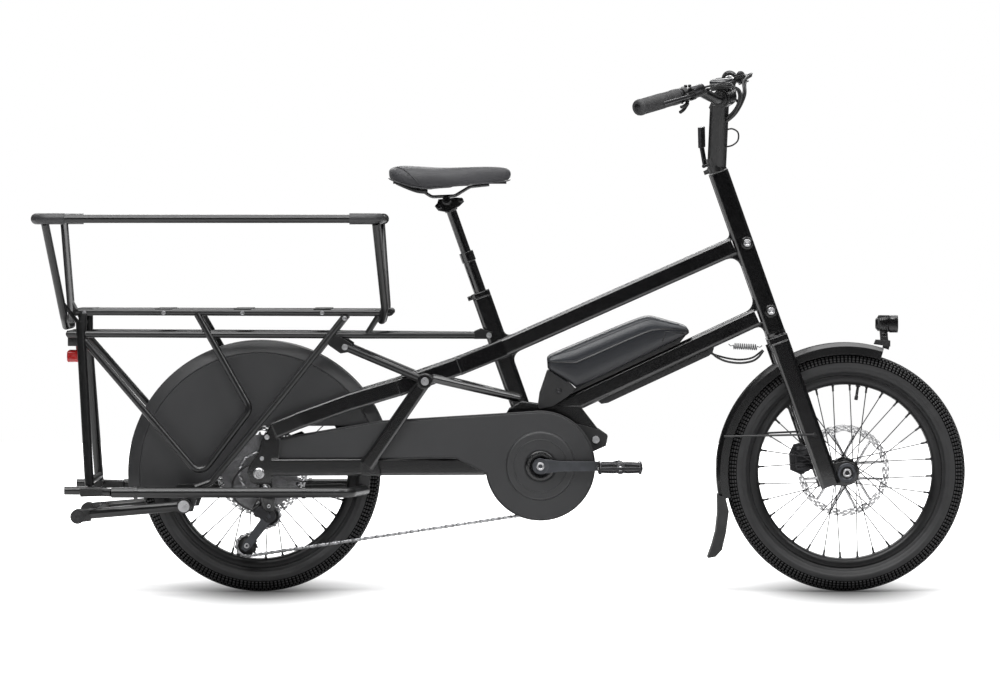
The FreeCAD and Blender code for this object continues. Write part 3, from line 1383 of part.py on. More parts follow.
def link_plate(start, end, side):
    """A length of the side plates between two X, Z points on the chain's path."""
    dx, dz = end[0] - start[0], end[1] - start[1]
    length = math.hypot(dx, dz)
    nx, nz = -dz / length * 3.6, dx / length * 3.6
    ends = []
    for x, z in (start, end):
        y_in, y_out = chain_y_at(x) + side * 1.15, chain_y_at(x) + side * 1.95
        corners = [Vec(x - nx, y_in, z - nz), Vec(x + nx, y_in, z + nz),
                   Vec(x + nx, y_out, z + nz), Vec(x - nx, y_out, z - nz)]
        ends.append(Part.makePolygon(corners + [corners[0]]))
    return Part.makeLoft(ends, True, True)


def chain_shape():
    ring_r, cog_r = pitch_radius(dim.ring_teeth), pitch_radius(COGS[CHAIN_COG])
    pulley_r = pitch_radius(PULLEY_TEETH)
    cog_off, ring_on = tangent(REAR, cog_r, CRANK, ring_r)                     # upper run
    ring_off, tension_on = tangent(CRANK, ring_r, TENSION, pulley_r)           # lower run
    tension_off, guide_on = tangent(TENSION, pulley_r, GUIDE, -pulley_r)
    guide_off, cog_on = tangent(GUIDE, -pulley_r, REAR, cog_r)
    path = [cog_off] + arc_points(CRANK, ring_r, ring_on, ring_off, True, 40)
    path += arc_points(TENSION, pulley_r, tension_on, tension_off, True, 16)
    path += arc_points(GUIDE, pulley_r, guide_on, guide_off, False, 12)
    path += arc_points(REAR, cog_r, cog_on, cog_off, True, 20)
    parts = []
    for side in SIDES:
        plates = [link_plate(start, end, side) for start, end in zip(path, path[1:])
                  if math.hypot(end[0] - start[0], end[1] - start[1]) >= 0.5]
        parts += tidy(plates[0].multiFuse(plates[1:]), 20).Solids
    # rollers only along the two straight runs, where no tooth stands between the plates
    for start, end, lead_in in ((cog_off, ring_on, 29), (ring_off, tension_on, 38)):
        length = math.hypot(end[0] - start[0], end[1] - start[1])
        for k in range(int((length - 29 - lead_in) / dim.chain_pitch)):
            share = (lead_in + k * dim.chain_pitch) / length
            x = start[0] + (end[0] - start[0]) * share
            z = start[1] + (end[1] - start[1]) * share
            parts.append(y_rod(3.9, chain_y_at(x) - 1.1, chain_y_at(x) + 1.1, x, z))
    return Part.makeCompound(parts)


def derailleur_body_shape():
    """Knuckle and link on the frame's hanger."""
    x, z = HANGER
    body = fuse([y_rod(5.0, -95, -75, x, z), y_rod(11, -92, -86, x, z),
                 box_tube((x, -89, z), (GUIDE.x + 2, -76, GUIDE.z + 12), 9, 24, 3),
                 y_rod(14, -86, -69, GUIDE.x, GUIDE.z)])
    body = minus(body, frame)
    body = body.fuse(slab([(-540, 183), (-522, 190), (-506, 176), (-510, 160), (-536, 168)],
                          -92, -86.1)).removeSplitter()
    return tidy(minus(body, y_rod(4.05, -100, -40, GUIDE.x, GUIDE.z)))


def derailleur_cage_shape():
    """Two plates and two pulleys, with a pivot on the guide pulley's axis."""
    y = chain_y_at(-520)
    along = (TENSION - GUIDE).normalize()
    normal = square_to(along)
    corners = [GUIDE + normal * 11 - along * 4, GUIDE - normal * 11 - along * 4,
               TENSION - normal * 9, TENSION - normal * 6 + along * 12,
               TENSION + normal * 6 + along * 12, TENSION + normal * 9]
    outline = [(p.x, p.z) for p in corners]
    pieces = [slab(outline, y - 7.4, y - 5.2), slab(outline, y + 5.2, y + 7.4)]
    for centre in (GUIDE, TENSION):
        pieces.append(toothed_disc(centre + Vec(0, y - 0.9, 0), PULLEY_TEETH,
                                   3.4, 2.4, 0.08, 1.8))
        pieces.append(y_rod(3.5, y - 7.4, y + 7.4, centre.x, centre.z))
    pieces.append(y_rod(4.0, y - 28.0, y - 6.0, GUIDE.x, GUIDE.z))
    return fuse(pieces)


feature("chain", chain_shape())
feature("derailleur_body", derailleur_body_shape())
feature("derailleur_cage", derailleur_cage_shape())


# ---------------------------------------------------------------- fasteners and cables

# X, distance from the centre plane, Z, head radius, head height; one on each side
BOLTS = [(-168, 97.2, 460, 8.5, 4), (-508.9, 92.2, 339.8, 5.5, 4),
         (-340.9, 92.2, 533.8, 6.5, 4), (-340.9, 88.3, 596.0, 5.0, 3),
         (202, 33.2, 331.5, 8.0, 5), (-30, 33.2, 557.8, 6.0, 4)]
BOLTS += [(x, dim.deck_y + 8.0, dim.deck_z, 4.5, 3) for x in DECK_BARS]
BOLTS += [(-520, 84.3, 293.0, 4.5, 3), (dim.stand_x, 140.3, dim.stand_z, 12.5, 4)]


def bolt(side, x, offset, z, radius, height):
    """A screw head with a hex socket."""
    y = side * offset
    head = Part.makeCylinder(radius, height, Vec(x, y, z), Vec(0, side, 0))
    socket_y = y + side * (height - 2.4)
    corners = [Vec(x + 3.0 * math.cos(math.radians(60 * k)), socket_y,
                   z + 3.0 * math.sin(math.radians(60 * k))) for k in range(6)]
    return head.cut(prism(corners, side * 4))


def fasteners_shape():
    """Each screw is a separate solid, cut back to what it sits on."""
    held = [nodes[label].Shape for label in (
        "frame", "rack_frame", "rack_deck", "drive_motor", "guard_rail", "rear_axle",
        "stand_legs")]
    solids = []
    for side in SIDES:
        for row in BOLTS:
            screw = minus(bolt(side, *row), *held)
            solids += [s for s in screw.Solids if s.Volume > 40]
    return Part.makeCompound(solids)


def frame_cables_shape():
    """A loop below the head tube, and a cable along each chain stay, left then right."""
    loops = [
        tube([(462, -8, 522), (478, -14, 506), (520, -16, 499), (556, -12, 506),
              (563, -8, 521)], 5, 12),
        tube([(100, 54, 300), (20, 66, 302), (-60, 68, 299), (-250, 62, 296),
              (-395, 66, 300), (-408, 64, 306)], 5, 14),
        tube([(-240, -56.6, 299), (-300, -59, 298), (-400, -64, 298)], 5, 14)]
    return Part.makeCompound([largest(minus(loop, frame, motor, fork)) for loop in loops])


feature("fasteners", fasteners_shape())
feature("frame_cables", frame_cables_shape())

# ---------------------------------------------------------------- check and write

doc.recompute()
bad = [o.Name for o in doc.Objects if "Invalid" in o.State or "Error" in o.State]
assert not bad, "failed objects: %s" % bad
for label, node in nodes.items():
    shape = node.Shape
    assert not shape.isNull() and shape.isValid(), "bad shape: " + label
    assert shape.Solids and all(s.Volume > 1.0 for s in shape.Solids), "no solid: " + label
os.makedirs("parts", exist_ok=True)
for label, node in nodes.items():
    node.Shape.exportStep("parts/%s.step" % label)
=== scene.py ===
"""Studio scene for a cargo bicycle.

This script gives them finishes, replaces some with detailed meshes, adds small parts, and
sets the floor, lights and camera.
"""

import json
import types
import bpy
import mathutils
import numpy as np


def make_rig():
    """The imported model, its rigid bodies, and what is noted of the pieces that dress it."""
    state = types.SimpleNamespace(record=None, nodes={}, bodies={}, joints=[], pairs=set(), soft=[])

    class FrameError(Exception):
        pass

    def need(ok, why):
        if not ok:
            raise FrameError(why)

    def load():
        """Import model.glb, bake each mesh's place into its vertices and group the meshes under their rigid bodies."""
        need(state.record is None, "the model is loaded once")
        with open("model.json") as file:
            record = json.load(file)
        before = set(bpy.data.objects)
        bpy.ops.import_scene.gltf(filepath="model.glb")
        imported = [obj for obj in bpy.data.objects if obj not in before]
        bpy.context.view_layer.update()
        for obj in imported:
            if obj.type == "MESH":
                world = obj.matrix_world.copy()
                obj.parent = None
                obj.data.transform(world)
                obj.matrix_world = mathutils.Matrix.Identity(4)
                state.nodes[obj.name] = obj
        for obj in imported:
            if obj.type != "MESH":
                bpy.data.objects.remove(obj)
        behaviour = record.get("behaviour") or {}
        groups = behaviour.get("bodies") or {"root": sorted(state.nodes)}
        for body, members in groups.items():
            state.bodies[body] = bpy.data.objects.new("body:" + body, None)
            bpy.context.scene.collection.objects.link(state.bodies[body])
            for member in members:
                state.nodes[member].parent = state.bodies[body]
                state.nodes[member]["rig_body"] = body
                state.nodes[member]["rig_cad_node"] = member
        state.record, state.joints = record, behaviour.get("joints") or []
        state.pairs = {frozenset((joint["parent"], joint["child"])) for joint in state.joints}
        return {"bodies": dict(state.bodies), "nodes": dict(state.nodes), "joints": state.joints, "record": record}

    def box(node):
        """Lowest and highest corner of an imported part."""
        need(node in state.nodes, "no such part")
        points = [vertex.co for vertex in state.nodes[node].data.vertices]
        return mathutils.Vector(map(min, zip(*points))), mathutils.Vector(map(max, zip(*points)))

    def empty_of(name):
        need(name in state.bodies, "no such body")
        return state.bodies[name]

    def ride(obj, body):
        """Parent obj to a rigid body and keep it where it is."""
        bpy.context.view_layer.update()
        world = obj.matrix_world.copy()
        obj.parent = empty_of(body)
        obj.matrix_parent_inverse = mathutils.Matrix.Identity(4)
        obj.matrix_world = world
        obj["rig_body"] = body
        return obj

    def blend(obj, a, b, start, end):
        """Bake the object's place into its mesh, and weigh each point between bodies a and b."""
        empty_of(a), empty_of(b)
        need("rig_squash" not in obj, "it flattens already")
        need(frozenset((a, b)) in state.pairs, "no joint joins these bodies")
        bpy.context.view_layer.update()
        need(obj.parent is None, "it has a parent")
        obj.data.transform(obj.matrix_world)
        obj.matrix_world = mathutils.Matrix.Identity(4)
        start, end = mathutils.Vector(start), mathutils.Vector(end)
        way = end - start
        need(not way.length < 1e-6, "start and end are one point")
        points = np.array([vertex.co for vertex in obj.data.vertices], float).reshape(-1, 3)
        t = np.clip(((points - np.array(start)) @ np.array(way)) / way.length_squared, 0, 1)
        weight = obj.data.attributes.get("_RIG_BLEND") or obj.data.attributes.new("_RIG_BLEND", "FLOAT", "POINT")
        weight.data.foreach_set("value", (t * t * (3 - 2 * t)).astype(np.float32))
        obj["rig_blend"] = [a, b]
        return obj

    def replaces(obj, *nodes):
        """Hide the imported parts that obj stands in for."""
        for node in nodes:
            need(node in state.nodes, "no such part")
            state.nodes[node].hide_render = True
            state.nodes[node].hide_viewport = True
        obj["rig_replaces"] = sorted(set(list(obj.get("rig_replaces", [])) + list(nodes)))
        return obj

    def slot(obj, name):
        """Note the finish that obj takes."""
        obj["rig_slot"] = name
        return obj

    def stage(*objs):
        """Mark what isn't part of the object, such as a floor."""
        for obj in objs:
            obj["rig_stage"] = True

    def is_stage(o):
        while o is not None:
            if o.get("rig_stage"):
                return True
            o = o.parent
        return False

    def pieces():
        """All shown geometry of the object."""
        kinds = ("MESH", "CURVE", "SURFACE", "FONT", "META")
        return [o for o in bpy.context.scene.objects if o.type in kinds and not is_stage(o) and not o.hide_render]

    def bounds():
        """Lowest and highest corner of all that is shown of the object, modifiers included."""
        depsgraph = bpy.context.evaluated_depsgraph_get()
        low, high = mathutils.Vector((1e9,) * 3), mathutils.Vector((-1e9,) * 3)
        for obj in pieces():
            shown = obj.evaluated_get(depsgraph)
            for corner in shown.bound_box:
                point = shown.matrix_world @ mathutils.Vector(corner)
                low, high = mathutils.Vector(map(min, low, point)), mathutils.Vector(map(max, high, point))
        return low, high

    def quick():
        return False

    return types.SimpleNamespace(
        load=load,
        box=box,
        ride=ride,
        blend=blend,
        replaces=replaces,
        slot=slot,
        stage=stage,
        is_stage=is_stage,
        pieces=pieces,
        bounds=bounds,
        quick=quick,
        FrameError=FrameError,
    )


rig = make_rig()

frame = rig.load()
CAD_BOX = [list(map(float, v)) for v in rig.bounds()]

import json
import math
import random

import bpy
import bmesh
from mathutils import Matrix, Vector

random.seed(7)
scene = bpy.context.scene
NODES = frame["nodes"]

FORWARD, LEFT, UP = Vector((1, 0, 0)), Vector((0, 1, 0)), Vector((0, 0, 1))
SIDES = (-1, 1)                       # right, left (or back, front along X)
TURN = 2 * math.pi

# ------------------------------------------------------------------ shader building


class Shader:
    """Adds nodes to a tree. An input is given a value or another node's output."""

    def __init__(self, tree):
        self.nodes = tree.nodes
        self.links = tree.links

    def fill(self, node, inputs):
        for key, value in inputs.items():
            if isinstance(value, bpy.types.NodeSocket):
                self.links.new(value, node.inputs[key])
            else:
                node.inputs[key].default_value = value

    def node(self, kind, inputs=None, **settings):
        node = self.nodes.new("ShaderNode" + kind)
        for name, value in settings.items():
            setattr(node, name, value)
        self.fill(node, inputs or {})
        return node

    def remap(self, value, source=(0.0, 1.0), target=(0.0, 1.0)):
        return self.node("MapRange", {
            "Value": value, "From Min": source[0], "From Max": source[1],
            "To Min": target[0], "To Max": target[1]}).outputs["Result"]

    def calc(self, operation, *values, clamp=False):
        inputs = dict(enumerate(values))
        node = self.node("Math", inputs, operation=operation, use_clamp=clamp)
        return node.outputs["Value"]

    def scale(self, vector, factor):
        node = self.node("VectorMath", operation="SCALE")
        self.fill(node, {0: vector, "Scale": factor})
        return node.outputs["Vector"]

    def grey(self, value):
        return self.node("CombineXYZ", {0: value, 1: value, 2: value}).outputs["Vector"]

    def lighten(self, colour, amount):
        node = self.node("VectorMath", {0: colour, 1: self.grey(amount)}, operation="ADD")
        return node.outputs["Vector"]


def material(name, colour, rough, metal=0.0, coat=0.0, coat_rough=0.08, drift=0.15,
             drift_scale=18.0, rough_drift=0.08, relief=0.15, relief_scale=900.0,
             kind="noise", sheen=0.0, specular=0.5, transmission=0.0, edge=0.0, dust=0.0,
             bevel=0.0012):
    """A procedural finish.

    drift: share by which the colour varies, in patches set by drift_scale
    rough_drift: variation of the roughness either way
    relief: strength of the fine surface bumps, of kind noise, cells or rings
    edge, dust: how much rounded edges and upward faces are lightened
    bevel: radius over which edges look rounded, in metres
    """
    made = bpy.data.materials.new(name)
    made.use_nodes = True
    shader = Shader(made.node_tree)
    surface = made.node_tree.nodes["Principled BSDF"]
    place = shader.node("TexCoord").outputs["Object"]

    def noise(scale, detail):
        inputs = {"Scale": scale, "Detail": detail, "Vector": place}
        return shader.node("TexNoise", inputs).outputs["Fac"]

    patches = shader.remap(noise(drift_scale, 6.0), source=(0.3, 0.7),
                           target=(1.0 - drift, 1.0 + drift))
    tint = shader.scale(colour, patches)
    rounded_normal = None
    if bevel > 0:
        rounded_normal = shader.node("Bevel", {"Radius": bevel}, samples=4).outputs["Normal"]
    if edge > 0:
        flat_normal = shader.node("NewGeometry").outputs["Normal"]
        match = shader.node("VectorMath", {0: flat_normal, 1: rounded_normal},
                            operation="DOT_PRODUCT").outputs["Value"]
        tint = shader.lighten(tint, shader.remap(match, source=(0.995, 0.80),
                                                 target=(0.0, edge)))
    if dust > 0:
        normal = shader.node("NewGeometry").outputs["Normal"]
        upward = shader.node("SeparateXYZ", {"Vector": normal}).outputs["Z"]
        settled = shader.calc("MULTIPLY", upward, noise(60.0, 8.0))
        tint = shader.lighten(tint, shader.calc("MULTIPLY", settled, dust, clamp=True))

    if kind == "cells":
        texture = shader.node("TexVoronoi", feature="DISTANCE_TO_EDGE")
        height = texture.outputs["Distance"]
    elif kind == "rings":
        texture = shader.node("TexWave", {"Distortion": 1.5, "Detail": 3.0},
                              wave_type="RINGS", rings_direction="Y")
        height = texture.outputs["Fac"]
    else:
        texture = shader.node("TexNoise", {"Detail": 5.0})
        height = texture.outputs["Fac"]
    shader.fill(texture, {"Scale": relief_scale, "Vector": place})
    bump = shader.node("Bump", {"Strength": relief, "Distance": 0.0006, "Height": height})
    if rounded_normal:
        shader.fill(bump, {"Normal": rounded_normal})

    shader.fill(surface, {
        "Base Color": tint,
        "Roughness": shader.remap(noise(drift_scale * 3.1, 4.0),
                                  target=(rough - rough_drift, rough + rough_drift)),
        "Metallic": metal,
        "Coat Weight": coat,
        "Coat Roughness": coat_rough,
        "Specular IOR Level": specular,
        "Transmission Weight": transmission,
        "Normal": bump.outputs["Normal"],
        "Coat Normal": bump.outputs["Normal"],
    })
    if sheen:
        shader.fill(surface, {"Sheen Weight": sheen, "Sheen Roughness": 0.4})
    return made


# ------------------------------------------------------------------ finishes

FINISH = {
    "gloss": material(
        "gloss_black_enamel", colour=(0.0022, 0.0022, 0.0025), rough=0.22, coat=1.0,
        coat_rough=0.04, drift=0.25, rough_drift=0.04, relief=0.02, relief_scale=240.0,
        edge=0.010, bevel=0.0034),
    "satin": material(
        "satin_powder_coat", colour=(0.0045, 0.0045, 0.0048), rough=0.30, coat=0.25,
        coat_rough=0.20, drift=0.25, rough_drift=0.06, relief=0.16, relief_scale=1300.0,
        edge=0.010),
    "plastic": material(
        "grained_plastic", colour=(0.012, 0.012, 0.0125), rough=0.46, drift=0.14,
        drift_scale=9.0, rough_drift=0.06, relief=0.35, relief_scale=1800.0, edge=0.02,
        dust=0.006),
    "cover": material(
        "cover_plastic", colour=(0.027, 0.0272, 0.0285), rough=0.42, drift=0.12,
        drift_scale=5.0, rough_drift=0.06, relief=0.30, relief_scale=1400.0, edge=0.022,
        dust=0.004, bevel=0.0030),
    "gloss_plastic": material(
        "thin_black_plastic", colour=(0.0045, 0.0045, 0.0048), rough=0.22, coat=0.25,
        coat_rough=0.12, drift=0.2, rough_drift=0.06, relief=0.08, relief_scale=700.0,
        edge=0.015),
    "battery": material(
        "battery_shell", colour=(0.0105, 0.0115, 0.0145), rough=0.33, coat=0.10,
        coat_rough=0.3, drift=0.12, drift_scale=7.0, rough_drift=0.05, relief=0.30,
        relief_scale=1600.0, edge=0.02),
    "battery_top": material(
        "battery_top_shell", colour=(0.016, 0.018, 0.022), rough=0.34, drift=0.12,
        drift_scale=7.0, rough_drift=0.05, relief=0.30, relief_scale=1500.0, edge=0.02),
    "tyre": material(
        "tyre_rubber", colour=(0.017, 0.017, 0.0178), rough=0.52, drift=0.20,
        drift_scale=40.0, rough_drift=0.10, relief=0.22, edge=0.012, dust=0.004,
        bevel=0.0003),
    # painted shade for the recesses between tread blocks: near-black rubber with almost no reflection
    "painted_groove_shade": material(
        "tyre_painted_groove_shade", colour=(0.0012, 0.0012, 0.0013), rough=0.95, drift=0.2,
        drift_scale=40.0, rough_drift=0.04, relief=0.1, bevel=0.0, specular=0.03),
    "rubber": material(
        "moulded_rubber", colour=(0.016, 0.016, 0.0165), rough=0.62, drift=0.2,
        drift_scale=45.0, relief=0.35, relief_scale=1200.0, edge=0.012),
    "grip": material(
        "grip_rubber", colour=(0.030, 0.030, 0.031), rough=0.60, drift=0.18,
        drift_scale=60.0, rough_drift=0.07, relief=0.35, relief_scale=1500.0, edge=0.02),
    "saddle": material(
        "saddle_cover", colour=(0.026, 0.026, 0.029), rough=0.52, drift=0.12,
        drift_scale=22.0, relief=0.55, kind="cells", sheen=0.12, edge=0.01),
    "steel": material(
        "ground_steel", colour=(0.56, 0.56, 0.57), rough=0.27, metal=1.0, drift=0.10,
        drift_scale=30.0, relief_scale=500.0, kind="rings"),
    "rotor": material(
        "rotor_steel", colour=(0.72, 0.72, 0.73), rough=0.30, metal=1.0, drift=0.08,
        drift_scale=30.0, rough_drift=0.06, relief=0.12, relief_scale=600.0, kind="rings"),
    "sprocket": material(
        "sprocket_steel", colour=(0.20, 0.20, 0.205), rough=0.32, metal=1.0, drift=0.2,
        drift_scale=60.0, relief_scale=500.0, kind="rings"),
    "chain": material(
        "chain_steel", colour=(0.42, 0.42, 0.43), rough=0.30, metal=1.0, drift=0.2,
        drift_scale=80.0, rough_drift=0.10),
    "screw": material(
        "black_screw", colour=(0.05, 0.05, 0.052), rough=0.30, metal=1.0, drift=0.2,
        drift_scale=60.0, relief=0.12, edge=0.05),
    "silver_screw": material(
        "zinc_screw", colour=(0.50, 0.50, 0.51), rough=0.30, metal=1.0, drift_scale=60.0,
        relief=0.12),
    "alloy": material(
        "black_anodised", colour=(0.035, 0.035, 0.037), rough=0.33, metal=0.85,
        drift_scale=35.0, edge=0.04),
    "grey_alloy": material(
        "grey_anodised", colour=(0.075, 0.078, 0.085), rough=0.34, metal=0.9,
        drift_scale=35.0, edge=0.05),
    "rim": material(
        "rim_satin", colour=(0.010, 0.010, 0.0105), rough=0.34, metal=0.3, drift=0.2,
        drift_scale=30.0, rough_drift=0.07, edge=0.02),
    "lens": material(
        "clear_lens", colour=(0.75, 0.78, 0.80), rough=0.06, drift=0.06, drift_scale=30.0,
        rough_drift=0.03, relief=0.35, relief_scale=240.0, kind="cells", transmission=0.75),
    "reflector": material(
        "reflector_silver", colour=(0.65, 0.67, 0.70), rough=0.16, metal=0.9, drift=0.1,
        rough_drift=0.05, relief=0.5, relief_scale=260.0, kind="cells"),
    "red": material(
        "red_lens", colour=(0.42, 0.010, 0.010), rough=0.14, coat=0.6, drift=0.12,
        drift_scale=60.0, rough_drift=0.05, relief=0.6, relief_scale=300.0, kind="cells"),
    "amber": material(
        "amber_reflector", colour=(0.62, 0.20, 0.02), rough=0.16, coat=0.5, drift=0.12,
        drift_scale=60.0, rough_drift=0.05, relief=0.6, relief_scale=300.0, kind="cells"),
    "screen": material(
        "dark_glass", colour=(0.006, 0.007, 0.009), rough=0.08, coat=0.9, drift=0.2,
        rough_drift=0.03, relief=0.02, relief_scale=200.0),
    "cable": material(
        "cable_sheath", colour=(0.010, 0.010, 0.0105), rough=0.42, drift=0.2,
        drift_scale=40.0, rough_drift=0.07, relief_scale=1400.0),
}

# The CAD pieces that wear each finish.
LOOK = {
    "gloss": ["frame", "fork", "seatpost_outer", "seatpost_inner", "seat_clamp"],
    "satin": ["rack_frame", "rack_deck", "footrests", "guard_rail", "stand_legs",
              "front_stays", "handlebar", "stem_post"],
    "plastic": ["cable_cover", "battery_dock", "controls", "drive_motor", "saddle_shell",
                "headlight"],
    "cover": ["chain_case", "chainring_cover", "rear_mudguard", "wheel_covers",
              "guard_joints"],
    "gloss_plastic": ["front_mudguard", "pedal_right", "pedal_left"],
    "battery": ["battery"],
    "tyre": ["front_tyre", "rear_tyre"],
    "rubber": ["stand_feet", "mud_flap"],
    "grip": ["grips"],
    "saddle": ["saddle_pad"],
    "sprocket": ["cassette"],
    "steel": ["rear_axle", "head_bearings", "steering_spring"],
    "rotor": ["front_rotor", "rear_rotor"],
    "chain": ["chain"],
    "screw": ["front_spokes", "rear_spokes"],
    "silver_screw": ["fasteners"],
    "alloy": ["chainring", "front_caliper", "rear_caliper", "derailleur_body", "front_hub",
              "rear_hub", "stem_lever", "brake_lever_right", "brake_lever_left",
              "front_axle"],
    "grey_alloy": ["derailleur_cage", "crank_arms"],
    "rim": ["front_rim", "rear_rim"],
    "red": ["tail_light"],
    "cable": ["frame_cables"],
}

SLOT = {
    "plastic": "dark_plastic", "cover": "dark_plastic",
    "gloss_plastic": "guard_plastic", "screen": "guard_plastic",
    "battery": "battery_shell", "battery_top": "battery_shell",
    "tyre": "tyre_rubber", "saddle": "saddle_cover", "rim": "satin_black_paint",
    "rubber": "black_rubber", "grip": "black_rubber", "cable": "black_rubber",
    "rotor": "bare_steel", "sprocket": "bare_steel", "chain": "bare_steel",
    "screw": "bare_steel", "silver_screw": "bare_steel",
    "alloy": "black_alloy", "grey_alloy": "black_alloy",
    "lens": "red_lens", "red": "red_lens",
}


def finish_cad_pieces():
    for finish, names in LOOK.items():
        for name in names:
            slots = NODES[name].data.materials
            slots.clear()
            slots.append(FINISH[finish])
    for piece in NODES.values():
        if not piece.data.materials or piece.data.materials[0] is None:
            piece.data.materials.append(FINISH["plastic"])


# ------------------------------------------------------------------ mesh building


def smooth(piece, angle):
    """Smooth shading that keeps creases, by a modifier so that the mesh is unchanged."""
    for face in piece.data.polygons:
        face.use_smooth = True
    piece.data.update()
    # A piece that is hidden or out of the view layer can't be worked on: it goes without.
    try:
        bpy.context.view_layer.objects.active = piece
        for other in bpy.context.selected_objects:
            other.select_set(False)
        piece.select_set(True)
        bpy.ops.object.shade_auto_smooth(angle=math.radians(angle))
        piece.select_set(False)
    except Exception:
        pass


def catmull(points, steps):
    """A smooth line through points."""
    points = [Vector(p) for p in points]
    last = len(points) - 1
    line = []
    for k in range(last):
        before, a, b = points[max(k - 1, 0)], points[k], points[k + 1]
        after = points[min(k + 2, last)]
        for j in range(steps):
            t = j / steps
            line.append(0.5 * ((2 * a) + (b - before) * t
                               + (2 * before - 5 * a + 4 * b - after) * t * t
                               + (3 * a - before - 3 * b + after) * t ** 3))
    line.append(points[-1])
    return line


def mirrored(profile):
    """A profile of (across, radius) on the other side of the middle, in reverse order."""
    return [(-across, radius) for across, radius in profile[::-1]]


def rounded(width, height, radius, steps=5):
    """The outline of a rectangle with rounded corners."""
    outline = []
    for su, sv, start in ((1, 1, 0), (-1, 1, 90), (-1, -1, 180), (1, -1, 270)):
        for k in range(steps + 1):
            angle = math.radians(start + 90 * k / steps)
            outline.append((su * (width / 2 - radius) + radius * math.cos(angle),
                            sv * (height / 2 - radius) + radius * math.sin(angle)))
    return outline


def bands(rings, size, wrap=False):
    """Quads between neighbouring rings of points."""
    faces = []
    for k in range(rings if wrap else rings - 1):
        a, b = k * size, (k + 1) % rings * size
        for j in range(size):
            j2 = (j + 1) % size
            faces.append((a + j, a + j2, b + j2, b + j))
    return faces


def cap(ring, size, reverse=False):
    """One face over a ring of points."""
    corners = tuple(range(ring * size, (ring + 1) * size))
    return corners[::-1] if reverse else corners


class Part:
    """Gathers closed shapes into one mesh."""

    def __init__(self):
        self.verts = []
        self.faces = []

    def add(self, verts, faces):
        start = len(self.verts)
        self.verts += [Vector(v) for v in verts]
        self.faces += [tuple(i + start for i in face) for face in faces]

    def loft(self, rings):
        """A skin over rings of points, with capped ends."""
        count, size = len(rings), len(rings[0])
        faces = bands(count, size)
        faces += [cap(0, size), cap(count - 1, size, reverse=True)]
        self.add([v for ring in rings for v in ring], faces)

    def tube(self, points, radius, sides):
        """A capped round tube along a line. radius is one number or one for each point."""
        points = [Vector(p) for p in points]
        count = len(points)
        radii = radius if isinstance(radius, list) else [radius] * count
        across = None
        verts = []
        for k, point in enumerate(points):
            along = (points[min(k + 1, count - 1)] - points[max(k - 1, 0)]).normalized()
            if across is None:
                across = along.orthogonal().normalized()
            across = (across - along * across.dot(along)).normalized()
            other = along.cross(across)
            for j in range(sides):
                angle = TURN * j / sides
                verts.append(point + (across * math.cos(angle)
                                      + other * math.sin(angle)) * radii[k])
        faces = bands(count, sides)
        faces += [cap(0, sides, reverse=True), cap(count - 1, sides)]
        self.add(verts, faces)

    def bend(self, points, steps, radius, sides):
        """A tube along a smooth line through points."""
        self.tube(catmull(points, steps), radius, sides)

    def rod(self, start, axis, stations, sides):
        """A straight tube with stations of (distance along the axis, radius)."""
        points = [start + axis * distance for distance, _ in stations]
        self.tube(points, [radius for _, radius in stations], sides)

    def turned(self, profile, centre, sides, side=1):
        """A closed profile of (distance along Y, radius) turned about a Y axis."""
        centre = Vector(centre)
        verts = []
        for k in range(sides):
            angle = TURN * k / sides
            for along, radius in profile:
                verts.append(centre + Vector((radius * math.sin(angle), side * along,
                                              radius * math.cos(angle))))
        self.add(verts, bands(sides, len(profile), wrap=True))

    def socket_head(self, centre, side, sides, depths, radii):
        """A screw head that faces along Y towards side.

        depths: base, shoulder, face, socket floor, outwards from the centre
        radii: shoulder, face, socket mouth, socket floor
        """
        base, shoulder, face, floor_depth = depths
        wide, face_radius, mouth, floor_radius = radii
        self.turned([(base, 0.0), (base, wide), (shoulder, wide), (face, face_radius),
                     (face, mouth), (floor_depth, floor_radius), (floor_depth, 0.0)],
                    centre, sides, side)

    def prism(self, outline, depth, place, bevel=0.0):
        """An outline given thickness. place maps (u, v, depth) to space."""
        count = len(outline)
        mid_u = sum(p[0] for p in outline) / count
        mid_v = sum(p[1] for p in outline) / count

        def inset(u, v):
            du, dv = u - mid_u, v - mid_v
            length = math.hypot(du, dv) or 1.0
            return u - du / length * bevel, v - dv / length * bevel

        if bevel > 0:
            small = [inset(*p) for p in outline]
            layers = [(small, 0.0), (outline, bevel), (outline, depth - bevel),
                      (small, depth)]
        else:
            layers = [(outline, 0.0), (outline, depth)]
        verts = [place(u, v, w) for layer, w in layers for u, v in layer]
        faces = [cap(0, count, reverse=True), cap(len(layers) - 1, count)]
        self.add(verts, faces + bands(len(layers), count))

    def make(self, name, finish, body=None, angle=35.0):
        """Make the object, riding on a body. angle None leaves it flat shaded."""
        mesh = bpy.data.meshes.new(name)
        mesh.from_pydata([tuple(v) for v in self.verts], [], self.faces)
        mesh.validate()
        bm = bmesh.new()
        bm.from_mesh(mesh)
        bmesh.ops.recalc_face_normals(bm, faces=bm.faces)
        bm.to_mesh(mesh)
        bm.free()
        made = bpy.data.objects.new(name, mesh)
        scene.collection.objects.link(made)
        mesh.materials.append(FINISH[finish])
        if angle is not None:
            smooth(made, angle)
        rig.slot(made, SLOT[finish])
        if body:
            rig.ride(made, body)
        return made


# ------------------------------------------------------------------ tyres and rims


def wheel_centre(tyre):
    lo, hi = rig.box(tyre)
    return Vector(((lo[0] + hi[0]) / 2, 0.0, (lo[2] + hi[2]) / 2))


def radial(angle):
    """Direction from a hub, turning from up towards forward."""
    return Vector((math.sin(angle), 0, math.cos(angle)))


FRONT, REAR = wheel_centre("front_tyre"), wheel_centre("rear_tyre")

TYRE_R = 0.261                        # over the tread
TYRE_HALF_WIDTH = 0.0300
CASING_SEGMENTS = 200
CASING_CROWN = (0.0, 0.2594)
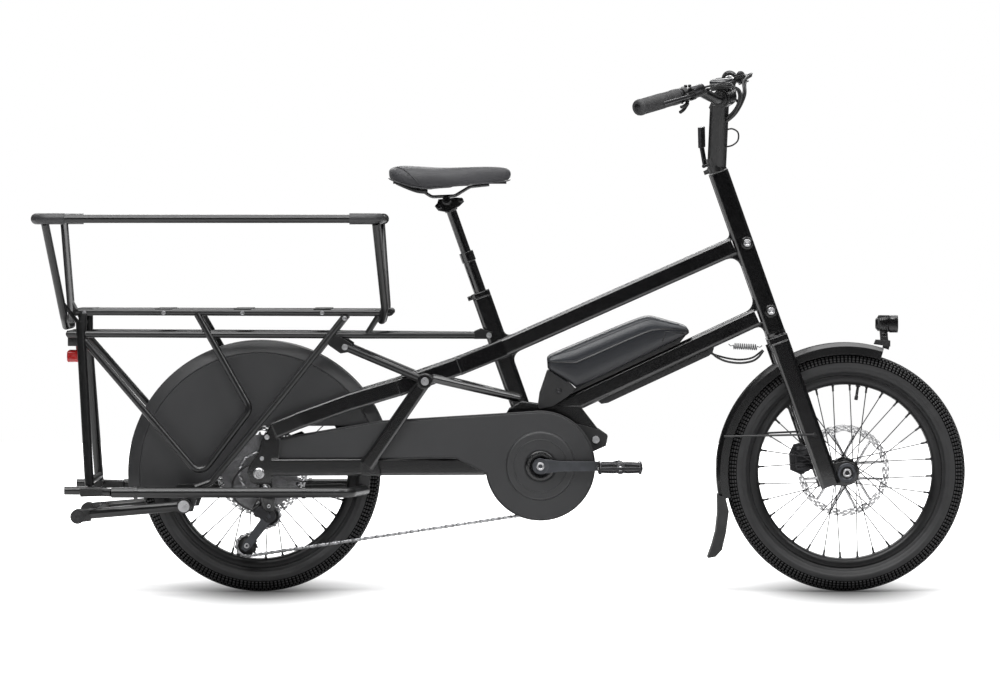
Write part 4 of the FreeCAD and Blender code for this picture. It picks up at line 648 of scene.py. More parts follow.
# Casing from bead to crown on the left: (across, radius), with two ribs low on the wall.
CASING_WALL = [
    (0.0152, 0.2032), (0.0158, 0.2105), (0.0185, 0.2135), (0.0205, 0.2150),
    (0.0222, 0.2160), (0.0232, 0.2168), (0.0248, 0.2195), (0.0262, 0.2230),
    (0.0272, 0.2255), (0.0279, 0.2262), (0.0285, 0.2285), (0.0292, 0.2320),
    (0.0292, 0.2350), (0.0289, 0.2375), (0.0281, 0.2420), (0.0272, 0.2455),
    (0.0255, 0.2495), (0.0225, 0.2535), (0.0180, 0.2566), (0.0120, 0.2585),
    (0.0060, 0.2592)]
CASING_INSIDE = [(0.0190, 0.2470), (0.0240, 0.2300), (0.0125, 0.2050)]

BLOCKS = 186                          # tread blocks in a row
BLOCK_HALF_TURN = TURN / BLOCKS * 0.34
BLOCK_TOP = 0.84                      # size of a block's top against its foot
BLOCK_SINK = -0.0006                  # foot of a block below the casing's surface
# Distance from the crown over the surface, half width, offset in pitches, height.
BLOCK_ROWS = [
    (0.0, 0.0025, 0.0, 0.0016), (0.0068, 0.0025, 0.5, 0.0016),
    (0.0136, 0.0025, 0.0, 0.0016), (0.0203, 0.0025, 0.5, 0.0016),
    (0.0266, 0.0023, 0.0, 0.0015), (0.0325, 0.0022, 0.0, 0.0013),
    (0.0380, 0.0019, 0.0, 0.0011)]

TREAD_PATH = [CASING_CROWN] + CASING_WALL[::-1]
TREAD_RUN = [0.0]                     # length of the path up to each of its points
for (y_0, r_0), (y_1, r_1) in zip(TREAD_PATH, TREAD_PATH[1:]):
    TREAD_RUN.append(TREAD_RUN[-1] + math.hypot(y_1 - y_0, r_1 - r_0))


def on_casing(distance):
    """Across and radius at a distance from the crown, then the outward normal's two parts."""
    distance = max(0.0, min(TREAD_RUN[-1] - 1e-6, distance))
    for k in range(len(TREAD_PATH) - 1):
        if TREAD_RUN[k] <= distance <= TREAD_RUN[k + 1]:
            share = (distance - TREAD_RUN[k]) / max(1e-9, TREAD_RUN[k + 1] - TREAD_RUN[k])
            (across, radius), (next_across, next_radius) = TREAD_PATH[k], TREAD_PATH[k + 1]
            da, dr = next_across - across, next_radius - radius
            length = math.hypot(da, dr) or 1.0
            return across + da * share, radius + dr * share, -dr / length, da / length


def tread_block(part, centre, row, sign, angle):
    """One square block, a little smaller at its top. sign puts it left or right."""
    distance, half, _, height = row
    verts = []
    for scale, lift in ((1.0, BLOCK_SINK), (BLOCK_TOP, height)):
        for su, sa in ((-1, -1), (1, -1), (1, 1), (-1, 1)):
            place = distance + su * half * scale
            across, radius, normal_y, normal_r = on_casing(abs(place))
            radius = min(radius + normal_r * lift, TYRE_R)
            y = (math.copysign(across, place) + math.copysign(normal_y, place) * lift) * sign
            y = max(-TYRE_HALF_WIDTH, min(TYRE_HALF_WIDTH, y))
            turned = angle + sa * BLOCK_HALF_TURN * scale
            verts.append(centre + Vector((radius * math.sin(turned), y,
                                          radius * math.cos(turned))))
    part.add(verts, [(3, 2, 1, 0), (4, 5, 6, 7), (0, 1, 5, 4), (1, 2, 6, 5), (2, 3, 7, 6),
                     (3, 0, 4, 7)])


def build_tyre(name, centre, body, node):
    part = Part()
    profile = (CASING_WALL + [CASING_CROWN] + mirrored(CASING_WALL)
               + mirrored(CASING_INSIDE) + [(0.0, 0.2530)] + CASING_INSIDE)
    part.turned(profile, centre, CASING_SEGMENTS)
    for row in BLOCK_ROWS:
        for sign in ((1,) if row[0] == 0 else (1, -1)):
            for k in range(BLOCKS):
                tread_block(part, centre, row, sign, TURN * (k + row[2]) / BLOCKS)
    tyre = part.make(name, "tyre", body, 26.0)
    # painted shade: the casing between the blocks gets a near-black, barely reflecting finish
    tyre.data.materials.append(FINISH["painted_groove_shade"])
    casing_faces = CASING_SEGMENTS * len(profile)
    for face in tyre.data.polygons:
        if face.index < casing_faces:
            offset = face.center - centre
            radius = math.hypot(offset.x, offset.z)
            inside = radius < 0.2532 and abs(offset.y) < 0.0225
            if radius > 0.2390 and not inside:
                face.material_index = 1
    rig.replaces(tyre, node)


# Left half of the rim's section: (across, radius).
RIM_HALF = [
    (0.0068, 0.1890), (0.0115, 0.1905), (0.0150, 0.1935), (0.0172, 0.1975),
    (0.0178, 0.2010), (0.0180, 0.2070), (0.0179, 0.2085), (0.0172, 0.2090),
    (0.0160, 0.2088), (0.0154, 0.2075), (0.0154, 0.2032), (0.0070, 0.2030),
    (0.0040, 0.1992)]
SPOKES = 32
EYELET_R = 0.0034
# Valve, nut and cap: (distance from the hub, radius).
VALVE = [(0.190, 0.0052), (0.186, 0.0052), (0.1858, 0.0031), (0.166, 0.0031),
         (0.1655, 0.0040), (0.158, 0.0040), (0.157, 0.0028)]


def build_rim(name, centre, body, node, first_spoke, valve):
    """A rim with eyelets. first_spoke and valve are angles in degrees."""
    part = Part()
    part.turned(RIM_HALF + mirrored(RIM_HALF), centre, 160)
    for k in range(SPOKES):
        outward = radial(math.radians(k * 360 / SPOKES + first_spoke))
        side = 1 if k % 2 == 0 else -1
        hole = centre + outward * 0.1888 + Vector((0, side * 0.0025, 0))
        part.rod(hole, outward, [(0.003, EYELET_R), (-0.0012, EYELET_R),
                                 (-0.0016, EYELET_R)], 10)
    part.rod(centre, radial(math.radians(valve)), VALVE, 12)
    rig.replaces(part.make(name, "rim", body, 30.0), node)


# ------------------------------------------------------------------ brake rotors

ROTOR_THICK = 0.0018
ROTOR_SEGMENTS = 288
ROTOR_HOLES = 36                      # repeats of the hole pattern in a turn
ROTOR_RADII = [0.0855, 0.0878, 0.0900, 0.0918, 0.0938, 0.0958, 0.0975, 0.0995]
# Rows of the band that have holes, and the part of each repeat that is open.
ROTOR_OPEN = {1: (0.10, 0.42), 3: (0.45, 0.77), 5: (0.10, 0.42)}
ARM_INNER_R, ARM_OUTER_R = 0.026, 0.0872
ARM_POINTS = 9


def rotor_solid(k, row):
    """Whether a cell of the band is metal."""
    if not 0 <= row < len(ROTOR_RADII) - 1:
        return False
    if row not in ROTOR_OPEN:
        return True
    start, end = ROTOR_OPEN[row]
    return not start < (k * ROTOR_HOLES / ROTOR_SEGMENTS) % 1.0 < end


def rotor_band(part, centre, left):
    """The drilled ring, with waves along its inner and outer edges."""
    verts = []
    for y in (left, left - ROTOR_THICK):
        for k in range(ROTOR_SEGMENTS):
            angle = TURN * k / ROTOR_SEGMENTS
            for radius in ROTOR_RADII:
                if radius == ROTOR_RADII[0]:
                    radius += 0.0014 * math.cos(angle * 18)
                elif radius == ROTOR_RADII[-1]:
                    radius += 0.0005 * math.cos(angle * 36)
                verts.append(centre + Vector((radius * math.sin(angle), y,
                                              radius * math.cos(angle))))

    def corner(face, k, j):
        return (face * ROTOR_SEGMENTS + k % ROTOR_SEGMENTS) * len(ROTOR_RADII) + j

    faces = []
    for k in range(ROTOR_SEGMENTS):
        for j in range(len(ROTOR_RADII) - 1):
            if not rotor_solid(k, j):
                continue
            cell = [(k, j), (k + 1, j), (k + 1, j + 1), (k, j + 1)]
            faces.append(tuple(corner(0, *c) for c in cell))
            faces.append(tuple(corner(1, *c) for c in cell[::-1]))
            # a wall wherever the neighbouring cell is open
            for beside, start, end in (((k - 1, j), (k, j), (k, j + 1)),
                                       ((k + 1, j), (k + 1, j), (k + 1, j + 1)),
                                       ((k, j - 1), (k, j), (k + 1, j)),
                                       ((k, j + 1), (k, j + 1), (k + 1, j + 1))):
                if not rotor_solid(*beside):
                    faces.append((corner(0, *start), corner(0, *end),
                                  corner(1, *end), corner(1, *start)))
    part.add(verts, faces)


def rotor_arm(part, centre, left, angle, side):
    """A flat arm that curves one way from the carrier to the band and narrows outwards."""
    one_edge, other_edge = [], []
    for q in range(ARM_POINTS):
        share = q / (ARM_POINTS - 1)
        radius = ARM_INNER_R + (ARM_OUTER_R - ARM_INNER_R) * share
        turned = angle + side * 0.30 * math.sin(share * math.pi * 0.5)
        half_width = 0.0036 - 0.0008 * share
        across = Vector((math.cos(turned), 0, -math.sin(turned)))
        middle = centre + radial(turned) * radius
        one_edge.append(middle + across * half_width)
        other_edge.append(middle - across * half_width)
    outline = one_edge + other_edge[::-1]
    n = len(outline)
    verts = [p + LEFT * y for y in (left - 0.0002, left - ROTOR_THICK + 0.0002)
             for p in outline]
    faces = []
    for q in range(ARM_POINTS - 1):
        faces.append((q, q + 1, n - 2 - q, n - 1 - q))
        faces.append((n + q, 2 * n - 1 - q, 2 * n - 2 - q, n + q + 1))
    for q in range(n):
        q2 = (q + 1) % n
        faces.append((q, n + q, n + q2, q2))
    part.add(verts, faces)


def build_rotor(name, centre, body, node):
    _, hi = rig.box(node)
    left = hi[1]
    part = Part()
    rotor_band(part, centre, left)
    for k in range(6):
        for side in SIDES:
            rotor_arm(part, centre, left, TURN * k / 6, side)
    hub = centre + LEFT * left
    part.turned([(0.0, 0.0135), (0.0, 0.0300), (-ROTOR_THICK, 0.0300),
                 (-ROTOR_THICK, 0.0135)], hub, 72)
    part.turned([(0.0035, 0.0115), (0.0035, 0.0205), (0.0022, 0.0218), (0.0001, 0.0218),
                 (0.0001, 0.0115)], hub, 60)
    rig.replaces(part.make(name, "rotor", body, 30.0), node)


def build_wheels():
    build_tyre("tyre_front", FRONT, "front_wheel", "front_tyre")
    build_tyre("tyre_rear", REAR, "rear_wheel", "rear_tyre")
    build_rim("rim_front", FRONT, "front_wheel", "front_rim", first_spoke=3.0, valve=8.6)
    build_rim("rim_rear", REAR, "rear_wheel", "rear_rim", first_spoke=8.0, valve=195.0)
    build_rotor("rotor_front", FRONT, "front_wheel", "front_rotor")
    build_rotor("rotor_rear", REAR, "rear_wheel", "rear_rotor")


# ------------------------------------------------------------------ saddle

# Stations from back to front, in mm: x, half width, top, lowest edge, underside's middle.
SADDLE = [
    (-248.5, 24, 912, 899, 902), (-247, 41, 917, 896, 899), (-241, 56, 921, 891, 897),
    (-228, 68, 924, 885.5, 896), (-210, 75, 924.2, 879, 895), (-186, 77.5, 923, 873.5, 894),
    (-164, 74, 921.5, 871.5, 893), (-140, 64, 920, 873.5, 893), (-114, 51, 920, 877, 893),
    (-86, 40.5, 921, 880.5, 893), (-55, 32, 922.5, 883.2, 894), (-25, 27, 923, 885.5, 895),
    (-2, 24, 922, 887.5, 896), (10, 20, 919.5, 890, 897), (16, 14.5, 915.5, 893, 898),
    (19, 8, 909, 897, 900)]
# Half of the upper section: (share of the half width, share of the height).
SADDLE_CROWN = [
    (0.0, 1.0), (0.22, 0.998), (0.42, 0.985), (0.60, 0.955), (0.75, 0.90), (0.87, 0.80),
    (0.95, 0.66), (0.99, 0.48), (1.0, 0.30), (0.985, 0.12), (0.94, 0.02), (0.86, 0.0)]
CHANNEL_DEPTH = 2.6                   # mm
CHANNEL_WIDTH = 7.0                   # mm, spread of the channel's bell-shaped section
PAD_VOXEL = 0.0042
PAD_FRAMES = 12                       # frames of cloth simulation
PAD_PUFF = 0.0022                     # the furthest the simulation may move a point
PAD_RIM_Z = 0.886                     # below this height nothing moves down


def saddle_section(x, half, top, low, under):
    """A closed section, with a shallow channel along the middle of the top."""
    channel = CHANNEL_DEPTH if -225 < x < -20 else 0.0
    right = []
    for across, up in SADDLE_CROWN:
        dip = channel * math.exp(-(across * half / CHANNEL_WIDTH) ** 2)
        right.append((half * across, low + (top - low) * up - dip))
    right += [(half * 0.74, low + (under - low) * 0.35),
              (half * 0.55, low + (under - low) * 0.8), (half * 0.28, under), (0.0, under)]
    section = right + mirrored(right[1:-1])
    return [Vector((x / 1000, y / 1000, z / 1000)) for y, z in section]


def evaluated_mesh(piece):
    graph = bpy.context.evaluated_depsgraph_get()
    return bpy.data.meshes.new_from_object(piece.evaluated_get(graph))


def apply_modifiers(piece):
    mesh = evaluated_mesh(piece)
    piece.modifiers.clear()
    piece.data = mesh


def subdivide(piece, levels):
    modifier = piece.modifiers.new("sub", "SUBSURF")
    modifier.levels = modifier.render_levels = levels


def puff(cover):
    """Even out the mesh, then blow it up a little as cloth."""
    remesh = cover.modifiers.new("remesh", "REMESH")
    remesh.mode = "VOXEL"
    remesh.voxel_size = PAD_VOXEL
    apply_modifiers(cover)
    cloth = cover.modifiers.new("cloth", "CLOTH")
    settings = cloth.settings
    settings.use_pressure = True
    settings.uniform_pressure_force = 4.0
    settings.effector_weights.gravity = 0.0
    settings.tension_stiffness = 60
    settings.compression_stiffness = 60
    settings.bending_stiffness = 4
    cloth.point_cache.frame_start = scene.frame_start = 1
    cloth.point_cache.frame_end = scene.frame_end = PAD_FRAMES
    for step in range(1, PAD_FRAMES + 1):
        scene.frame_set(step)
    blown = evaluated_mesh(cover)
    cover.modifiers.clear()
    for vertex, target in zip(cover.data.vertices, blown.vertices):
        move = target.co - vertex.co
        if move.length > PAD_PUFF:
            move = move.normalized() * PAD_PUFF
        if vertex.co.z < PAD_RIM_Z and move.z < 0:
            move.z = 0
        vertex.co = vertex.co + move
    scene.frame_set(1)


def build_saddle_cover():
    part = Part()
    part.loft([saddle_section(*station) for station in SADDLE])
    cover = part.make("saddle_cover", "saddle", angle=None)
    subdivide(cover, 2)
    apply_modifiers(cover)
    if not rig.quick():
        # Guards the remesh and the simulation: if one fails, the cover stays as it is.
        try:
            puff(cover)
        except Exception:
            cover.modifiers.clear()
        relax = cover.modifiers.new("smooth", "SMOOTH")
        relax.factor = 0.5
        relax.iterations = 2
        subdivide(cover, 1)
        apply_modifiers(cover)
    for face in cover.data.polygons:
        face.use_smooth = True
    if not cover.data.materials:
        cover.data.materials.append(FINISH["saddle"])
    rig.ride(cover, "seatpost_inner")
    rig.replaces(cover, "saddle_pad")


def mix(first, second, share):
    return [a + (b - a) * share for a, b in zip(first, second)]


def seam_point(share, side):
    """A point on a rear side panel's seam, from the edge of the crown down to the rim."""
    x = -232 + 58 * share
    for first, second in zip(SADDLE, SADDLE[1:]):
        if first[0] <= x <= second[0]:
            station = mix(first, second, (x - first[0]) / (second[0] - first[0]))
    shoulder = SADDLE_CROWN[3:10]
    place = share * (len(shoulder) - 1)
    i = min(int(place), len(shoulder) - 2)
    across, up = mix(shoulder[i], shoulder[i + 1], place - i)
    _, half, top, low, _ = station
    surface = Vector((x / 1000, side * half * across / 1000, (low + (top - low) * up) / 1000))
    return surface + Vector((0, side * 0.0009, 0.0009))


def build_saddle_trim():
    # beads round the lower edge and along the rear side seams
    part = Part()
    for side in (1, -1):
        part.bend([(x / 1000, side * (half * 0.992 + 0.5) / 1000,
                    (low + (top - low) * 0.10) / 1000)
                   for x, half, top, low, _ in SADDLE[1:-1]], 4, 0.0011, 8)
    for side in (1, -1):
        part.bend([seam_point(k / 12, side) for k in range(13)], 3, 0.0010, 8)
    part.make("saddle_piping", "saddle", "seatpost_inner", 40.0)

    # two ribs a side below the back of the cover, joined across the back
    part = Part()
    for side in (1, -1):
        part.bend([(-0.226, side * 0.020, 0.888), (-0.205, side * 0.040, 0.879),
                   (-0.185, side * 0.052, 0.872), (-0.165, side * 0.050, 0.870)],
                  5, 0.0055, 10)
        part.bend([(-0.218, side * 0.012, 0.886), (-0.200, side * 0.024, 0.880),
                   (-0.186, side * 0.024, 0.876)], 5, 0.0045, 10)
    part.tube([(-0.226, -0.020, 0.888), (-0.229, 0.0, 0.889), (-0.226, 0.020, 0.888)],
              0.0052, 10)
    part.make("saddle_tail", "plastic", "seatpost_inner")


# ------------------------------------------------------------------ cockpit

BAR_TURN = math.radians(24.0)         # the bars are turned to the right
HEAD_TILT = math.radians(19.55)       # the steering axis leans back
HEAD_TOP = Vector((0.4681, 0.0, 0.9126))
STEER_FRAME = Matrix.Translation(HEAD_TOP) @ Matrix.Rotation(-HEAD_TILT, 4, "Y")
BAR_FRAME = STEER_FRAME @ Matrix.Rotation(-BAR_TURN, 4, "Z")


def on_bars(x, y, z):
    """From the bars' own frame, in mm, to the scene."""
    return BAR_FRAME @ Vector((x / 1000, y / 1000, z / 1000))


def along_grip(side, distance, up=0.0, forward=0.0):
    """A point measured in mm from a grip's outer end towards the stem."""
    tip = Vector((-11.2, side * 285.0, 186.0))
    inner = Vector((58.0, side * 98.0, 180.0))
    inward = (inner - tip).normalized()
    ahead = Vector((-inward.y, inward.x, 0)).normalized() * side
    return on_bars(*(tip + inward * distance + ahead * forward + Vector((0, 0, up))))


def grip_profile():
    """(distance from the outer end, radius) over the outside and back through the bore."""
    profile = [(-0.002, 0.0135), (-0.0008, 0.0158), (0.001, 0.0168), (0.006, 0.0178),
               (0.010, 0.0178), (0.0115, 0.0165)]
    for k in range(13):               # fine ribs over the palm
        t = 0.014 + 0.0052 * k
        profile += [(t, 0.0162), (t + 0.0008, 0.0172), (t + 0.0030, 0.0172),
                    (t + 0.0038, 0.0162)]
    for k in range(4):                # deep grooves inboard
        t = 0.082 + 0.0060 * k
        profile += [(t, 0.0166), (t + 0.0001, 0.0138), (t + 0.0022, 0.0138),
                    (t + 0.0023, 0.0166)]
    return profile + [(0.109, 0.0164), (0.112, 0.0172), (0.1255, 0.0172), (0.1270, 0.0160),
                      (0.1270, 0.0114), (0.004, 0.0114)]


def build_grips():
    part = Part()
    sides = 48
    for side in SIDES:
        start = along_grip(side, 0.0)
        inward = (along_grip(side, 128.0) - start).normalized()
        across = inward.orthogonal().normalized()
        other = inward.cross(across)
        angles = [TURN * j / sides for j in range(sides)]
        part.loft([[start + inward * t
                    + (across * math.cos(angle) + other * math.sin(angle)) * radius
                    for angle in angles] for t, radius in grip_profile()])
    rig.replaces(part.make("grip_sleeves", "grip", "stem", 28.0), "grips")

    # end plug, lock ring at the inner end and its clamp screw
    part = Part()
    for side in SIDES:
        end = along_grip(side, -2.0)
        inward = (along_grip(side, 30.0) - end).normalized()
        part.rod(end, inward, [(-0.0004, 0.0088), (0.0004, 0.0100), (0.0012, 0.0105)], 32)
        part.rod(along_grip(side, 127.6), inward,
                 [(0.0, 0.0158), (0.0005, 0.0166), (0.0075, 0.0166), (0.0080, 0.0158)], 36)
        part.rod(along_grip(side, 131.5, -14.5, 6), UP, [(0.0, 0.0026), (-0.004, 0.0026)], 10)
    part.make("grip_lock_rings", "alloy", "stem", 30.0)


def build_controls():
    # three buttons on each side, and two shift levers on the right
    part = Part()
    for side in SIDES:
        for place in ((160, 15, -4), (168, 17, -2), (176, 15, 2)):
            part.rod(along_grip(side, *place), UP,
                     [(-0.004, 0.0038), (0.001, 0.0036), (0.0022, 0.0026)], 14)
        if side < 0:
            part.bend([along_grip(side, 150, -16, 6), along_grip(side, 136, -22, 10),
                       along_grip(side, 118, -25, 16), along_grip(side, 108, -25, 20)],
                      5, 0.0035, 10)
            part.bend([along_grip(side, 156, -20, -2), along_grip(side, 140, -30, -4),
                       along_grip(side, 124, -34, -2)], 5, 0.0038, 10)
    part.make("switches", "plastic", "stem", 40.0)

    # brake cylinders with two screws, and the barrel where the hose leaves
    part = Part()
    for side in SIDES:
        start, end = along_grip(side, 146, 1, 26), along_grip(side, 184, 2, 27)
        part.rod(start, end - start,
                 [(0.0, 0.0070), (0.04, 0.0092), (0.96, 0.0092), (1.0, 0.0070)], 16)
        for distance in (152, 178):
            part.rod(along_grip(side, distance, 10, 26.5), UP,
                     [(-0.003, 0.0022), (0.0006, 0.0022)], 10)
        start, end = along_grip(side, 188, -7, 24), along_grip(side, 202, -6, 25)
        part.rod(start, end - start,
                 [(0.0, 0.0062), (0.3, 0.0062), (0.34, 0.0045), (1.0, 0.0040)], 14)
    part.make("brake_reservoirs", "alloy", "stem", 35.0)


def build_cockpit_cables():
    """Two lines from each side loop ahead of the stem and into its front."""
    part = Part()
    for side in SIDES:
        for k, (distance, up, forward) in enumerate(((202, -6, 25), (196, 2, 12))):
            part.bend([along_grip(side, distance, up, forward),
                       along_grip(side, distance + 22, up + 4 - 8 * k, forward + 26),
                       on_bars(112 + 4 * k, side * (36 - 8 * k), 166 - 8 * k),
                       on_bars(112 + 2 * k, side * (16 - 3 * k), 146 - 8 * k),
                       on_bars(100 - 3 * k, side * 9, 126 - 8 * k),
                       on_bars(82 - 5 * k, side * 8, 112 - 8 * k),
                       on_bars(60 - 5 * k, side * 6, 104 - 8 * k)], 8, 0.0024, 10)
    # a small lead that loops out of the stem's front and back in
    part.bend([on_bars(46, 4, 80), on_bars(62, 5, 78), on_bars(72, 5, 66),
               on_bars(66, 4, 50), on_bars(50, 3, 44), on_bars(34, 3, 46)], 8, 0.0018, 8)
    part.make("cockpit_cables", "cable", "stem", 60.0)


def build_display():
    """A rounded screen above the stem, with a thin raised glass."""
    corner = on_bars(58, -30, 187)
    width = on_bars(58, 30, 187) - corner
    length = on_bars(98, -30, 177) - corner
    normal = length.cross(width).normalized()

    def place(u, v, w):
        return corner + width * (u + 0.5) + length * (v + 0.5) + normal * w

    outline = []
    for k in range(32):
        angle = TURN * k / 32
        outline.append(tuple(0.5 * math.copysign(abs(c) ** 0.35, c)
                             for c in (math.cos(angle), math.sin(angle))))
    part = Part()
    part.prism(outline, 0.009, lambda u, v, w: place(u, v, w - 0.004))
    part.prism(outline, 0.0012, lambda u, v, w: place(u * 0.94, v * 0.94, w + 0.005))
    part.make("display", "screen", "stem", 30.0)

    part = Part()
    outward = (BAR_FRAME.to_3x3() @ FORWARD).normalized()
    for sy in SIDES:
        for sz in SIDES:
            part.rod(on_bars(88, sy * 17, 147 + sz * 15), outward,
                     [(0.0, 0.0038), (0.003, 0.0038), (0.0036, 0.0028)], 14)
    part.make("faceplate_screws", "screw", "stem", 30.0)


# ------------------------------------------------------------------ chain

PITCH = 0.0127
BRACKET = Vector((0.0812, 0.0, 0.2767))          # bottom bracket
UPPER_JOCKEY = Vector((-0.505, 0, 0.168))
LOWER_JOCKEY = Vector((-0.5543, 0, 0.1029))


def pitch_radius(teeth):
    return PITCH / (2 * math.sin(math.pi / teeth))


RING_R, COG_R, JOCKEY_R = pitch_radius(50), pitch_radius(21), pitch_radius(11)
COG_Y = -0.07200 + 5 * 0.00295 + 0.0008          # the sixth cog in
RING_Y = -0.054
PLATE_END_R, PLATE_WAIST, PLATE_THICK = 0.0042, 0.0027, 0.0008
ROLLER = [(-0.0015, 0.0038), (0.0015, 0.0038)]
PIN = [(-0.0036, 0.0013), (-0.0034, 0.0018), (0.0034, 0.0018), (0.0036, 0.0013)]


def chain_y(x):
    """The chain's sideways place: it runs at a slant from the cog to the ring."""
    share = min(1.0, max(0.0, (x + 0.480) / 0.450))
    return COG_Y + (RING_Y - COG_Y) * share


def tangent(c1, r1, s1, c2, r2, s2):
    """The two ends of a straight run between circles; s1, s2 give the side it touches."""
    dx, dz = c2.x - c1.x, c2.z - c1.z
    angle = math.atan2(dz, dx) + math.acos((r1 * s1 - r2 * s2) / math.hypot(dx, dz))
    return [Vector((c.x + r * s * math.cos(angle), 0, c.z + r * s * math.sin(angle)))
            for c, r, s in ((c1, r1, s1), (c2, r2, s2))]


def arc(centre, radius, start, end, falling, steps):
    """Points round a circle from start to end; falling runs the angle from X to Z down."""
    a0 = math.atan2(start.z - centre.z, start.x - centre.x)
    a1 = math.atan2(end.z - centre.z, end.x - centre.x)
    if falling:
        while a1 > a0:
            a1 -= TURN
    else:
        while a1 < a0:
            a1 += TURN
    angles = [a0 + (a1 - a0) * k / steps for k in range(steps + 1)]
    return [Vector((centre.x + radius * math.cos(a), 0, centre.z + radius * math.sin(a)))
            for a in angles]


def chain_path():
    """The loop from the top of the cog forward to the ring and back through the cage."""
    top_back, top_front = tangent(REAR, COG_R, 1, BRACKET, RING_R, 1)
    low_front, low_back = tangent(BRACKET, RING_R, 1, LOWER_JOCKEY, JOCKEY_R, 1)
    cage_low, cage_high = tangent(LOWER_JOCKEY, JOCKEY_R, 1, UPPER_JOCKEY, JOCKEY_R, -1)
    cog_low, cog_high = tangent(UPPER_JOCKEY, JOCKEY_R, -1, REAR, COG_R, 1)
    return (arc(REAR, COG_R, cog_high, top_back, True, 60)
            + arc(BRACKET, RING_R, top_front, low_front, True, 160)
            + arc(LOWER_JOCKEY, JOCKEY_R, low_back, cage_low, True, 60)
            + arc(UPPER_JOCKEY, JOCKEY_R, cage_high, cog_low, False, 50)
            + [cog_high])


def walk(path, step):
    """Points a fixed length apart along a path."""
    points = []
    wanted = passed = 0.0
    for a, b in zip(path, path[1:]):
        length = (b - a).length
        while wanted <= passed + length:
            points.append(a + (b - a) * ((wanted - passed) / length))
            wanted += step
        passed += length
    return points


def chain_link(part, p, q, inner):
    """Two waisted plates, with a roller or a pin at each end."""
    along = (q - p).normalized()
    up = Vector((-along.z, 0, along.x))
    middle = (p + q) / 2
    y = chain_y((p.x + q.x) / 2)
    outline = []
    for end, start, waist in ((q, -60, 1), (p, 120, -1)):
        for k in range(9):
            angle = math.radians(start + 120 * k / 8)
            outline.append(end + along * PLATE_END_R * math.cos(angle)
                           + up * PLATE_END_R * math.sin(angle))
        outline.append(middle + up * PLATE_WAIST * waist)
    n = len(outline)
    offset = 0.00155 if inner else 0.00245
    for side in SIDES:
        verts = [Vector((v.x, y + side * away, v.z))
                 for away in (offset, offset + PLATE_THICK) for v in outline]
        faces = [cap(0, n), cap(1, n, reverse=True)]
        for j in range(n):
            j2 = (j + 1) % n
            faces.append((j, n + j, n + j2, j2))
        part.add(verts, faces)
    for end in (p, q):
        joint = Vector((end.x, y, end.z))
        if inner:
            part.rod(joint, LEFT, ROLLER, 10)
        else:
            part.rod(joint, LEFT, PIN, 8)


def build_chain():
    """Upper run fixed to the chassis; lower run and cage loop blended to the cage."""
    upper, lower = Part(), Part()
    joints = walk(chain_path(), PITCH)
    for k, (p, q) in enumerate(zip(joints, joints[1:])):
        mid = (p + q) / 2
        below = mid.x < 0.062 and mid.z < 0.1757 + (mid.x - BRACKET.x) * 0.13 + 0.004
        near_cage = mid.x < -0.478 and mid.z < 0.196
        chain_link(lower if below or near_cage else upper, p, q, k % 2 == 0)
    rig.replaces(upper.make("chain_upper", "chain", "chassis", 30.0), "chain")
    run = lower.make("chain_lower", "chain", None, 30.0)
    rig.slot(run, "bare_steel")
    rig.blend(run, "chassis", "derailleur_cage", start=(0.05, COG_Y, 0.172),
             end=(-0.525, COG_Y, 0.082))


# ------------------------------------------------------------------ steering spring and hoses

SPRING_BACK, SPRING_FRONT = Vector((0.4890, 0.0, 0.5343)), Vector((0.5660, 0.0, 0.5308))
SPRING_TURNS = 13
SPRING_R = 0.0063
HOSE_R = 0.0025


def build_spring():
    axis = (SPRING_FRONT - SPRING_BACK).normalized()
    down = axis.cross(LEFT).normalized()
    length = (SPRING_FRONT - SPRING_BACK).length
    coil_start, coil_end = length * 0.16, length * 0.84
    line = [SPRING_BACK + axis * 0.002 + down * 0.004,
            SPRING_BACK + axis * (coil_start * 0.55)]
    steps = SPRING_TURNS * 14
    for k in range(steps + 1):
        t = k / steps
        angle = TURN * SPRING_TURNS * t
        # the coil tightens at both ends
        radius = SPRING_R * min(1.0, min(t, 1 - t) * 22 + 0.25)
        line.append(SPRING_BACK + axis * (coil_start + (coil_end - coil_start) * t)
                    + (LEFT * math.sin(angle) + down * math.cos(angle)) * radius)
    line.append(SPRING_FRONT - axis * (coil_start * 0.55))
    line.append(SPRING_FRONT - axis * 0.002 + down * 0.004)
    part = Part()
    part.tube(line, 0.00095, 8)
    coil = part.make("steering_coil", "sprocket", None, 40.0)
    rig.blend(coil, "chassis", "fork", start=tuple(SPRING_BACK + axis * 0.008),
             end=tuple(SPRING_FRONT - axis * 0.006))
    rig.replaces(coil, "steering_spring")


